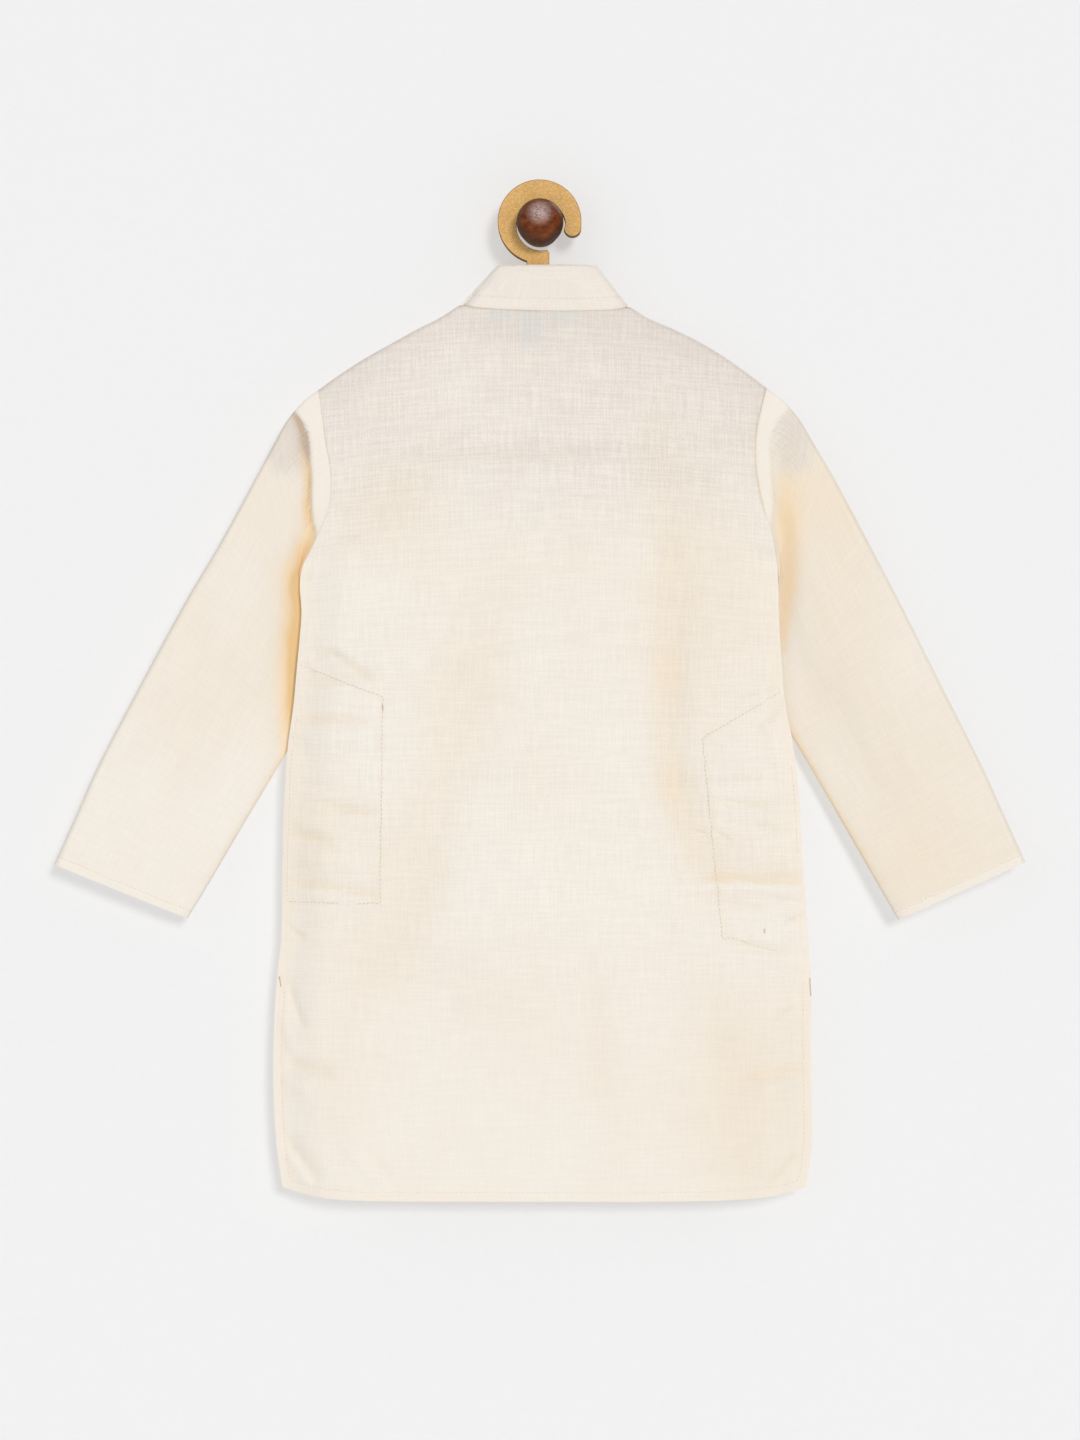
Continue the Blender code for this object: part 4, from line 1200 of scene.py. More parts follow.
    def half(self, x: Array, z: Array) -> Array:
        """Distance from the middle plane to the inside of the cloth, held clear of the board."""
        plain = FORM.half_depth(x, z, self.face)
        down, inward = self.apart_over
        at_edge = 1 - ease(FORM.from_side(x, z) / inward)
        apart = self.slit_apart * ease((FORM.slit_top_z - z) / down) * at_edge
        least = np.where(z > self.over_board_z, np.minimum(plain, BOARD_CLEAR), FORM.closed)
        sewn_side = 1 - ease(FORM.from_side(x, z) / self.seam_line)
        sewn_side = sewn_side * ease((z - FORM.slit_top_z) / 2)
        sewn = np.maximum(1 - ease(FORM.under_shoulder(x, z) / self.seam_line), sewn_side)
        return np.maximum(plain + self.relief(x, z) + apart, least) - self.seam_overlap * sewn

    def skin(self, x: Array, z: Array, out: float) -> Array:
        """Points on the panel, out from its inner side."""
        y = FORM.middle(x, z) + self.face.value * (self.half(x, z) + out)
        return stack(x, y, z)

    def marks(self, x: Array, z: Array) -> Array:
        """Painted shade of the board and seams, the labels' tint, warm tints with painted warm shade in folds and
        seams, and doubled cloth.
        """
        # painted shade of the board behind the cloth
        painted_shade = BOARD.through_body(x, z) * (1 + BODY_SHADE.at(x, z))
        tint = np.zeros_like(painted_shade)
        for left, right, top, bottom in TINTS:
            edge = np.minimum(np.minimum(x - left, right - x), np.minimum(top - z, z - bottom))
            tint = np.maximum(tint, ease(0.5 + edge / self.tint_edge))
        from_side = FORM.from_side(x, z)
        sewn = ease((FORM.underarm_z - z) / 8)
        dense = sewn * (1 - ease((from_side - self.seam_allowance) / 1.2))
        hem = 1 - ease((FORM.above_hem(x, z) - FORM.hem_width) / self.hem_fade)
        dense = np.maximum(dense, self.hem_dense * hem)
        # painted warm shade in the broad folds' hollows, in the creases and on the folds' sides, and a plain warm tint
        # lower down
        sunk = np.clip(-FORM.broad_folds(x, z, self.face) / self.sunk_depth, 0, 1.2)
        creased = np.clip(-self.creases.relief(x, z) / self.creased_depth, 0, 1.4)
        inside = ease(from_side / 4)
        sides = PAINTED_FOLD_SHADE.relief(x, z) * (self.face is Face.BACK)
        warm = (self.warm_sunk * sunk + self.warm_creased * creased + sides) * inside
        warm = warm + self.warm_plain * (1 + BODY_WARMTH.at(x, z)) * ease((self.warm_from_z - z) / 60)
        # painted patches of warm shade and glow
        for at_x, at_z, wide, tall, glow in zip(*PAINTED_GLOWS.values()):
            warm = warm + glow * bell(np.hypot((x - at_x) / wide, (z - at_z) / tall)) * inside
        # painted warm shade and dark shade along the armhole seams and just under the collar's seam
        armhole = bell(from_side / self.seam_line) * ease((z - self.armhole_z) / 12)
        below = FORM.top_line(x, self.face) - z
        collar_seam = bell((below - 0.6) / 0.8) * (np.abs(FORM.in_neck(x)) < 1)
        warm = warm + armhole * np.where(x > 0, *self.warm_armhole[::-1]) + self.warm_collar * collar_seam
        painted_shade = painted_shade + armhole * np.where(x > 0, *self.shade_armhole[::-1])
        painted_shade = painted_shade + collar_seam * np.where(x < 0, *self.shade_collar)
        if self.face is Face.BACK:
            # painted warm shade along the pockets' stitched lines
            for side, pocket in POCKET_FORMS.items():
                sewn_line = bell((pocket.inside(x, z) - 1.2) / 1.0) * (x * side.value > 0)
                warm = warm + self.warm_pocket * sewn_line * (from_side > EDGE_STRIP)
        else:
            tint = tint * 0
        return np.stack(np.broadcast_arrays(painted_shade, tint, warm, dense), axis=-1)

    def build(self, finish: Material) -> Object:
        """Makes the panel.

        Args:
            finish: The cloth's material.

        Returns:
            The panel, declared and riding on the body.
        """
        x, z = self.places()
        middle = self.skin(x, z, 0.0)
        normals = face_normals(middle, self.face)
        outer = middle + CLOTH * normals
        turned_up = 1 - ease((FORM.above_hem(x, z) - FORM.hem_width) / HEM_STEP)
        inner = coarse(middle - TWO_LAYERS * turned_up[..., None] * normals)
        bowed = self.bowed * np.square(x / 150) * ease((z + 330) / 120)
        weave = np.stack([x, z + bowed], axis=-1)
        made = Shell(self.name, outer, inner, weave, self.marks(x, z)).build(finish)
        return hung(made, self.flat, self.area, self.name.removesuffix("_cloth"))

    def line(self, path: list[tuple[float, float]], lift: float = CLOTH) -> Line:
        """A line on the panel's outer side, for stitches.

        Args:
            path: Its corners, as (x, z).
            lift: How far the line lies out from the panel's inner side.

        Returns:
            Points every half millimetre, and the outward direction at each.
        """
        corners = np.array(path, float)
        steps = np.hypot(*np.diff(corners, axis=0).T)
        reach = np.concatenate([[0.0], np.cumsum(steps)])
        at = np.arange(0, reach[-1], 0.5)
        x, z = (np.interp(at, reach, values) for values in corners.T)
        return self.skin(x, z, lift), np.tile([0.0, float(self.face.value), 0.0], (len(at), 1))

    def side_lines(self) -> list[Line]:
        """The stitched lines close beside both side seams, along the pockets."""
        lines = []
        for side, high, low in ((Side.LEFT, -327.0, -449.0), (Side.RIGHT, -359.0, -417.0)):
            z = np.linspace(high, low, 60)
            lines.append(self.line(list(zip(FORM.side(z, side) - side.value * 3.2, z))))
        return lines

    def hem_lines(self) -> list[Line]:
        """The stitched lines along the hem and up both slits."""
        u = np.linspace(0.017, 0.983, 120)
        z = FORM.hem(u) + FORM.hem_width
        x = blend(FORM.side(z, Side.LEFT), FORM.side(z, Side.RIGHT), u)
        lines = [self.line(list(zip(x, z)))]
        for side in Side:
            z = np.linspace(FORM.hem_z + 14, FORM.slit_top_z, 60)
            x = FORM.side(z, side) - side.value * self.slit_hem
            lines.append(self.line(list(zip(x, z))))
        return lines


# ---------------------------------------------------------------- sleeves
SLEEVE_COLUMNS = "outer_x outer_z inner_x inner_z"
SLEEVE_DEPTHS = table(  # how far the underarm side is tucked back, and half depths at the folds
    "tuck outer_half inner_half",
    (0, 5.3, 5.3),
    (3.2, 5.3, 5),
    (7.4, 5.3, 4.4),
    (9.8, 5.3, 4),
    (10.4, 5.2, 4),
    (10.4, 5, 4),
    (9.6, 4.9, 4),
    (7.6, 4.7, 4),
    (4, 4.6, 4.2),
    (2.2, 4.6, 4.4),
    (1, 4.8, 4.8),
)
SLEEVE_LEFT = SLEEVE_DEPTHS | table(
    SLEEVE_COLUMNS,
    (-146.5, -110, -157.2, -226.6),
    (-156.5, -118, -158.6, -234.5),
    (-166.5, -129.5, -156.8, -245),
    (-175.5, -145, -152.5, -260),
    (-189, -170, -150.5, -281),
    (-211, -210, -148.5, -303),
    (-235, -250.5, -156, -328),
    (-263.5, -303, -173, -357),
    (-291, -355.5, -201.5, -405),
    (-306.5, -390, -217.5, -432.5),
    (-321.5, -423.5, -233.6, -459.2),
)
SLEEVE_RIGHT = SLEEVE_DEPTHS | table(
    SLEEVE_COLUMNS,
    (149.5, -108.5, 157.2, -226.6),
    (161, -117.5, 158.8, -235),
    (171, -129, 156.8, -245.5),
    (180.5, -144.5, 152.5, -260),
    (195.5, -170, 149.5, -281),
    (217, -210, 147.5, -299),
    (238.5, -251, 155.5, -318.5),
    (264.8, -303.5, 174.8, -351),
    (291.3, -356, 205.3, -404),
    (306.8, -390, 221.5, -432.5),
    (321.2, -422, 237.4, -460.3),
)
# each row: z, the hollow's centre out from the seam, its half widths inside and outside, its depth, and glow, how much
# painted warm shade and glow it takes
VALLEY_COLUMNS = "z centre inner outer depth glow"
VALLEY_LEFT = table(
    VALLEY_COLUMNS,
    (-114, 20, 3, 7, 0, 0),
    (-126, 15, 2.2, 7, 0.4, 0.15),
    (-138, 12.4, 1.8, 8, 0.8, 0.2),
    (-158, 13.2, 1.8, 6.6, 1.1, 0.45),
    (-172, 13.4, 1.8, 5, 1.2, 0.8),
    (-188, 12.9, 1.8, 5.6, 1.4, 0.88),
    (-206, 4, 2.4, 8, 1.3, 0.74),
    (-224, 2, 2.4, 9.6, 1.2, 0.84),
    (-250, 1, 3, 10.6, 1, 1),
    (-282, 1, 3, 10.4, 0.9, 1.08),
    (-306, 1, 3, 9.4, 0.6, 1),
    (-328, 1, 3, 7.6, 0.3, 0.8),
    (-352, 1, 3, 6, 0, 0.15),
)
VALLEY_RIGHT = table(
    VALLEY_COLUMNS,
    (-152, 20, 6, 12, 0, 0),
    (-168, 20, 9, 11, 0.3, 0.14),
    (-182, 16, 9.5, 10, 0.7, 0.27),
    (-196, 12.5, 8, 9, 1, 0.4),
    (-211, 10.5, 6.6, 7.6, 1, 0.43),
    (-236, 7, 6, 6.6, 0.8, 0.54),
    (-255, 5, 5.5, 5.2, 0.6, 0.52),
    (-272, 3.4, 4.5, 4, 0.3, 0.4),
    (-288, 3, 3, 3, 0.2, 0),
)
BAND_COLUMNS = "z edge"
BAND_LEFT = table(
    BAND_COLUMNS,
    (-112, 30),
    (-122, 19),
    (-137, 11),
    (-163.5, 12),
    (-186.6, 11.6),
    (-197, 8),
    (-207, 1.5),
    (-224, 0),
)
BAND_RIGHT = table(
    BAND_COLUMNS,
    (-112, 26),
    (-128.5, 13.9),
    (-140.4, 9.4),
    (-163.5, 8.8),
    (-190, 5.4),
    (-202, 0.5),
    (-224, 0),
)
LEFT_CREASES = Creases(
    table(
        CREASE_COLUMNS,
        (-176, -214, -206, -288, 6, 5, 0.3, -1.3),
        (-168, -232, -190, -300, 3, 5, 0, 1),
        (-196, -226, -226, -330, -5, 6.5, 0, 0.9),
        (-214, -300, -256, -392, 4, 6, 0.2, -1.1),
        (-240, -320, -282, -424, -4, 7, 0, 0.9),
        (-190, -300, -232, -380, 3, 5, 0, -0.7),
    )
)
RIGHT_CREASES = Creases(
    table(
        CREASE_COLUMNS,
        (176, -220, 204, -296, -6, 5, 0.3, -1.3),
        (168, -238, 190, -306, -3, 5, 0, 1),
        (200, -230, 232, -336, 5, 6.5, 0, 0.9),
        (216, -306, 258, -398, -4, 6, 0.2, -1.1),
        (242, -322, 284, -420, 4, 7, 0, 0.9),
        (190, -300, 234, -386, -3, 5, 0, -0.7),
    )
)


@dataclass
class Sleeve:
    """A flat sleeve tube from the armhole to the cuff, whose underarm side lies behind the body."""

    name: str
    side: Side
    sections: Table
    valley: Table
    band: Table
    creases: Creases
    flat: tuple[float, float] = (232.0, 362.0)
    area: float = 74000.0
    ring_steps: int = 120  # from the outer fold to the underarm fold
    rows: int = 282
    outer_round: float = 3.6
    inner_round: float = 20.0
    half_from: float = 0.4
    half_over: float = 0.4
    tuck_from: float = 0.42
    tuck_over: float = 0.45
    seam_rows: float = 3.0
    low_share: float = 0.3
    least_rows: float = 0.01
    seam_ease: float = 1.4
    band_step: float = 0.55
    fold_gain: tuple[float, float] = (0.5, 0.4)  # on the creases' rise, at the back and the front
    fold_shift: tuple[float, float] = (0.0, 14.0)  # how far up they lie
    fold_fade: float = 14.0
    plain_folds: tuple[float, float] = (0.06, 0.1)  # shares of the width along the two folds
    over_board_z: float = -172.0  # above it the cloth keeps clear of the board
    least_half: float = 0.25  # half depth below it
    weave_width: float = 112.0
    cuff_hem: float = 5.8
    fold_glow: float = 0.26  # painted warm glow along the underarm fold
    head: float = 1.5  # how much painted shade of the board's end lies on the sleeve's head
    head_seam: float = 1.0  # and what is added to it beside the seam
    seam_shade: float = 2.5  # painted shade beside the doubled band's edge
    tanned: float = 0.175
    paler_cuff: float = 0.7
    seam_dip: float = 0.08
    seam_from_z: float = -205.0
    seam_fade: float = 12.0
    band_from_z: float = -216.0
    band_edge: float = 2.8
    ridge_off: float = 9.0  # of the ridge beyond the valley
    ridge_width: float = 8.0
    ridge_share: float = 0.35  # of the valley's depth
    filled: float = 0.85  # how much of the valley the band fills
    covered: float = 0.92  # how much of the painted warm glow the band hides
    shade_from: float = 1.2  # beyond the band's edge
    shade_width: float = 3.6
    shade_span: tuple[float, float] = (-214.0, -118.0)
    # painted warm shade in the creases
    creased_depth: float = 1.6
    warm_creased: float = 0.05
    free_z: float = -318.0  # below it the sleeve is clear of the body
    glow_width: float = 2.6
    hem_fade: float = 1.2
    hem_paler: float = 0.8
    hem_dense: float = 0.6
    closer: float = 0.45  # how much closer the columns lie towards the folds

    def shares(self) -> Array:
        """Places from the outer fold, 0, to the underarm fold, 1, closer towards the folds."""
        t = np.linspace(0, 1, self.ring_steps + 1)
        return blend(t, (1 - np.cos(np.pi * t)) / 2, self.closer)

    def read(self) -> Table:
        """The section table read at evenly spaced rings, with their place in it."""
        rows = np.arange(len(self.sections["tuck"]), dtype=float)
        fine = np.linspace(0, rows[-1], 400)
        lines = [smooth(rows, self.sections[k], fine) for k in SLEEVE_COLUMNS.split()]
        run = np.hypot(np.diff((lines[0] + lines[2]) / 2), np.diff((lines[1] + lines[3]) / 2))
        reach = np.concatenate([[0.0], np.cumsum(run)])
        at = np.interp(np.linspace(0, reach[-1], self.rows + 1), reach, fine)
        read = {name: smooth(rows, values, at) for name, values in self.sections.items()}
        return {**read, "place": at, "along": np.linspace(0, reach[-1], self.rows + 1)}

    def relief(self, x: Array, z: Array, outboard: Array, to_cuff: Array, face: Face) -> Array:
        """Creases, the valley beside the armhole, its allowance and the cuff's hem.

        Args:
            x: Places' x.
            z: Places' z.
            outboard: Distance out from the armhole seam.
            to_cuff: Distance along the sleeve to the cuff's edge.
            face: The side of the sleeve.

        Returns:
            Height off the plain form, outwards.
        """
        front = face is Face.FRONT
        folds = self.fold_gain[front] * self.creases.relief(x, z - self.fold_shift[front])
        ripple = sum(waves.at(x + 7 * face.value * waves.wide, z) for waves in SLEEVE_RIPPLES)
        total = (folds + ripple) * ease(outboard / self.fold_fade)
        band = self.on_band(outboard, z)
        total = total + self.band_step * band * (1 + ALLOWANCE_RIPPLES.at(z, outboard))
        sewn = ease((z - self.seam_from_z) / self.seam_fade)
        total = total - self.seam_dip * sewn * bell(outboard / 0.8)
        valley, read = self.in_valley(outboard, z)
        ridge = bell((outboard - read["centre"] - read["outer"] - self.ridge_off) / self.ridge_width)
        total = total - read["depth"] * valley * (1 - self.filled * band)
        total = total + self.ridge_share * read["depth"] * ridge
        return total + hem_relief(to_cuff - self.cuff_hem, x, z, HEM_PULL["cuff"])

    def on_band(self, outboard: Array, z: Array) -> Array:
        """1 on the seam allowance beside the armhole, 0 beyond its edge."""
        edge = smooth(self.band["z"], self.band["edge"], z)
        return ease(0.5 + (edge - outboard) / self.band_edge) * ease((z - self.band_from_z) / 8)

    def in_valley(self, outboard: Array, z: Array) -> tuple[Array, Table]:
        """Depth of a place in the hollow beside the body, from 0 to 1, and the hollow's sizes."""
        read = {name: smooth(self.valley["z"], values, z) for name, values in self.valley.items()}
        off = outboard - read["centre"]
        return bell(off / np.where(off < 0, read["inner"], read["outer"])), read

    def grid(self) -> tuple[Array, Array, Table]:
        """Inner points by ring place and by ring, places on the flat cloth, and distances there."""
        read = self.read()
        share = self.shares()[:, None]
        outer = np.stack([read["outer_x"], read["outer_z"]], axis=-1)
        inner = np.stack([read["inner_x"], read["inner_z"]], axis=-1)
        outer = outer + FORM.wall * unit(inner - outer)
        run = inner - outer
        length = np.hypot(run[:, 0], run[:, 1])
        inwards = ease((share - self.half_from) / self.half_over)
        own = blend(read["outer_half"], read["inner_half"], inwards)
        own = own * rounded(share * length / self.outer_round)
        own = own * rounded((1 - share) * length / self.inner_round)
        spot_x = outer[:, 0] + run[:, 0] * share
        spot_z = outer[:, 1] + run[:, 1] * share
        edge = FORM.side(spot_z, self.side)
        seam = FORM.half_depth(edge, spot_z, Face.BACK) * (share > 0) * (share < 1)
        place = read["place"]
        half = blend(own, seam, 1 - ease(place / self.seam_rows))
        clear = self.seam_ease * np.minimum(place, 1.0)
        follows = 1 - ease(place / (self.least_rows + self.seam_rows * ease(share / self.low_share)))
        x = blend(spot_x, edge + self.side.value * clear, follows)
        behind = read["tuck"] * ease((share - self.tuck_from) / self.tuck_over)
        outboard = self.side.value * (x - edge)
        to_cuff = read["along"][-1] - np.broadcast_to(read["along"], x.shape)
        flat_part = ease(share / self.plain_folds[0]) * ease((1 - share) / self.plain_folds[1])
        least = np.minimum(half, np.where(spot_z > self.over_board_z, BOARD_CLEAR, self.least_half))
        sides = []
        for face in Face:
            lifted = half + self.relief(x, spot_z, outboard, to_cuff, face) * flat_part
            y = MIDDLE_Y + behind + face.value * np.maximum(lifted, least)
            sides.append(stack(x, y, spot_z))
        points = np.concatenate([sides[0], sides[1][-2:0:-1]])
        girth = np.concatenate([share[:, 0], 2 - share[-2::-1, 0]]) * self.weave_width
        weave = stack(girth[:, None], read["along"], 0.0)[..., :2]
        off = {"outboard": outboard, "to_cuff": to_cuff, "to_fold": (1 - share) * length}
        return points, weave, {name: np.concatenate([a, a[-2:0:-1]]) for name, a in off.items()}

    def marks(self, points: Array, off: Table) -> Array:
        """Painted shade of the board's end and beside the band, a warm tint, painted warm shade in the creases, the
        valley and along the underarm fold, and doubled cloth.
        """
        x, z, outboard = points[..., 0], points[..., 2], off["outboard"]
        back = (np.arange(len(points)) <= self.ring_steps)[:, None]
        band = self.on_band(outboard, z)
        valley, read = self.in_valley(outboard, z)
        # painted shade of the board's end on the sleeve's head, and painted shade beside the band's edge
        painted_shade = BOARD.painted_shade_on_sleeve(x, z) * (self.head + self.head_seam * valley) * (1 - band) * back
        edge = smooth(self.band["z"], self.band["edge"], z)
        past = np.maximum(outboard - edge - self.shade_from, 0)
        low, high = self.shade_span
        shaded = ease((z - low) / 16) * ease((high - z) / 14) * (1 - band) * back
        shaded = shaded * bell(past / self.shade_width)
        painted_shade = painted_shade + self.seam_shade * shaded * (0.98 + 0.24 * bell((z + 180) / 18))
        painted_shade = painted_shade * (1 + SLEEVE_SHADE.at(x, z))
        # a warm tint, and painted warm shade in the creases, in the hollow beside the body and along the underarm fold
        broken = 0.92 + VALLEY_WARMTH.at(x, z)
        warm = self.tanned * (1 + SLEEVE_WARMTH.at(x, z)) * (1 - band)
        warm = warm * (1 - self.paler_cuff * ease((150 - off["to_cuff"]) / 80))
        creased = np.clip(-self.creases.relief(x, z) / self.creased_depth, 0, 1.4) * back
        warm = (warm + self.warm_creased * creased) * (1 - 0.5 * np.clip(painted_shade, 0, 1))
        warm = warm + read["glow"] * broken * valley * back * (1 - self.covered * band)
        free = ease((self.free_z - z) / 14) * ease((off["to_cuff"] - 6) / 60)
        warm = warm + self.fold_glow * bell(off["to_fold"] / self.glow_width) * free
        hem = 1 - ease((off["to_cuff"] - self.cuff_hem) / self.hem_fade)
        warm = warm * (1 - self.hem_paler * hem)
        dense = np.maximum(band, self.hem_dense * hem)
        return np.stack(np.broadcast_arrays(painted_shade, 0.0, warm, dense), axis=-1)

    def build(self, finish: Material) -> tuple[Object, Line]:
        """Makes the sleeve.

        Args:
            finish: The cloth's material.

        Returns:
            The sleeve, and the line of its cuff's stitches with its normals.
        """
        points, weave, off = self.grid()
        to_cuff = off["to_cuff"]
        normals = grid_normals(points, wrapped=True)
        centre = np.stack([points[..., 0], np.full(points.shape[:2], MIDDLE_Y + 4), points[..., 2]], axis=-1)
        outwards = np.sign(np.median(np.sum(normals * (points - centre), axis=-1)))
        normals = normals * outwards
        outer = points + CLOTH * normals
        turned_up = 1 - ease((to_cuff - self.cuff_hem) / HEM_STEP)
        inner = coarse(points - TWO_LAYERS * turned_up[..., None] * normals)
        made = Shell(self.name, outer, inner, weave, self.marks(points, off), wrapped=True).build(finish)
        hung(made, self.flat, self.area, self.name.removesuffix("_cloth"))
        row = int(np.argmin(np.abs(to_cuff[0] - self.cuff_hem)))
        ring = np.append(np.arange(len(outer)), 0)
        return made, (outer[ring, row], normals[ring, row])


# ---------------------------------------------------------------- collar
@dataclass
class Collar:
    """A stand-up band round the neck, open at the front centre."""

    steps: int = 240
    rows: int = 27
    top_z: float = -28.2
    top_x: float = 4.7
    top_half_width: float = 31.4
    top_depth: float = 7.0
    front_drop: float = 38.0
    front_gap: float = 2.5  # degrees
    lift: float = -0.7
    over: float = 0.45  # how far the band's lower edge stands off the panels' inner side
    inset: float = 1.9
    top_power: float = 0.7
    thickness: float = 1.2
    topstitch: float = 0.27  # share of the way up
    weave_radius: float = 36.0
    weave_height: float = 26.0
    stitch_dip: float = 0.3
    # painted shade of the board behind, then painted warm shade along the neck seam
    painted_board_shade: float = 0.35
    warm_seam: float = 0.15
    dense: float = 0.55
    flat: tuple[float, float] = (236.0, 29.0)
    area: float = 6800.0

    def ring(self, share: Array, turn: Array) -> Array:
        """Points on the band's inner side.

        Args:
            share: From the neck edge, 0, to the top edge, 1.
            turn: Angle round the neck from the front centre, in radians.

        Returns:
            One point for each pair.
        """
        front = np.cos(turn) > 0
        edge_x = FORM.neck_x + FORM.neck_half_width * np.sin(turn)
        edge_z = np.where(front, FORM.top_line(edge_x, Face.FRONT), FORM.top_line(edge_x, Face.BACK))
        back_low = FORM.half_depth(edge_x, edge_z, Face.BACK) - FORM.closed
        front_low = FORM.half_depth(edge_x, edge_z, Face.FRONT) - FORM.closed
        low_x = edge_x - self.inset * np.sin(turn)
        low_y = np.where(front, front_low, -back_low) + self.over * np.cos(turn)
        high_x = self.top_x + self.top_half_width * np.sin(turn)
        high_z = self.top_z - self.front_drop * np.maximum(np.cos(turn), 0.0)
        blunt = np.abs(np.cos(turn)) ** self.top_power
        high_y = self.top_depth * np.sign(np.cos(turn)) * blunt
        return stack(
            blend(low_x, high_x, share),
            MIDDLE_Y + blend(low_y, high_y, share),
            blend(edge_z + self.lift, high_z, share),
        )

    def build(self, finish: Material) -> tuple[Object, list[Line]]:
        """Makes the collar.

        Args:
            finish: The cloth's material.

        Returns:
            The collar, and its stitched lines with their normals.
        """
        gap = np.radians(self.front_gap)
        turn = np.linspace(gap, 2 * np.pi - gap, self.steps + 1)[:, None]
        share = np.linspace(0, 1, self.rows + 1)[None]
        plain = self.ring(share, turn)
        normals = grid_normals(plain)
        away = plain - np.array([self.top_x, MIDDLE_Y, 0.0])
        away[..., 2] = 0
        normals = normals * np.sign(np.median(np.sum(normals * away, axis=-1)))
        puckers = 0.12 * value_noise(turn * 18, share * 4, 41)
        dip = self.stitch_dip * bell((share - self.topstitch) / 0.035)
        up, down = share * self.weave_height, (1 - share) * self.weave_height
        edge = rounded(down / 1.4) * (0.55 + 0.45 * rounded(up / 1.2))
        raised = (self.thickness * edge + puckers - dip)[..., None]
        outer = plain + raised * normals
        weave = stack(turn * self.weave_radius, share * self.weave_height, 0.0)[..., :2]
        # painted shade of the board, painted warm shade along the neck seam, and doubled cloth
        marks = np.zeros((*outer.shape[:2], 4))
        marks[..., 0] = self.painted_board_shade
        marks[..., 2] = self.warm_seam * (1 - ease(share / 0.05))
        marks[..., 3] = self.dense
        made = Shell("collar_cloth", outer, coarse(plain), weave, marks).build(finish)
        hung(made, self.flat, self.area, "collar")
        row = int(round(self.topstitch * self.rows))
        ends = slice(INNER_STEP, -INNER_STEP)
        return made, [(outer[ends, row], normals[ends, row])]


# ---------------------------------------------------------------- small cloth pieces
@dataclass
class Patch:
    """A small flat piece that lies on a panel: a pocket bag, a label or the placket."""

    name: str
    panel: Panel
    out: float
    thickness: float
    slot: str
    flat: tuple[float, float]
    area: float
    steps: tuple[int, int] = (48, 72)

    def build(self, corners: Array, finish: Material, *with_pieces: Object) -> Object:
        """Makes the piece between four corners.

        Args:
            corners: (x, z) of the low left, low right, high right and high left corners.
            finish: The cloth's material.
            with_pieces: Stitches that go with it.

        Returns:
            The piece, declared and riding on the body.
        """
        u = np.linspace(0, 1, self.steps[0] + 1)[:, None, None]
        v = np.linspace(0, 1, self.steps[1] + 1)[None, :, None]
        low, high = blend(corners[0], corners[1], u), blend(corners[3], corners[2], u)
        spots = blend(low, high, v)
        x, z = spots[..., 0], spots[..., 1]
        under = self.panel.skin(x, z, self.out)
        normals = face_normals(under, self.panel.face)
        in_u, in_v = (size * np.minimum(t, 1 - t) for t, size in zip((u, v), self.flat))
        rise = self.thickness * (0.7 + 0.3 * rounded(np.minimum(in_u, in_v) / 0.8))
        marks = np.zeros((*x.shape, 4))
        outer = under + rise * normals
        made = Shell(f"{self.name}_cloth", outer, coarse(under), spots, marks).build(finish)
        return hung(made, self.flat, self.area, self.name, self.panel.name, self.slot, with_pieces)


# ---------------------------------------------------------------- hanger, knob and buttons
def arc(centre: tuple[float, float], radius: float, start: float, end: float, steps: int) -> Array:
    """Points on a circle, in degrees from +X towards +Z, one (x, z) a row."""
    turn = np.radians(np.linspace(start, end, steps + 1))
    return np.stack([centre[0] + radius * np.cos(turn), centre[1] + radius * np.sin(turn)], axis=-1)


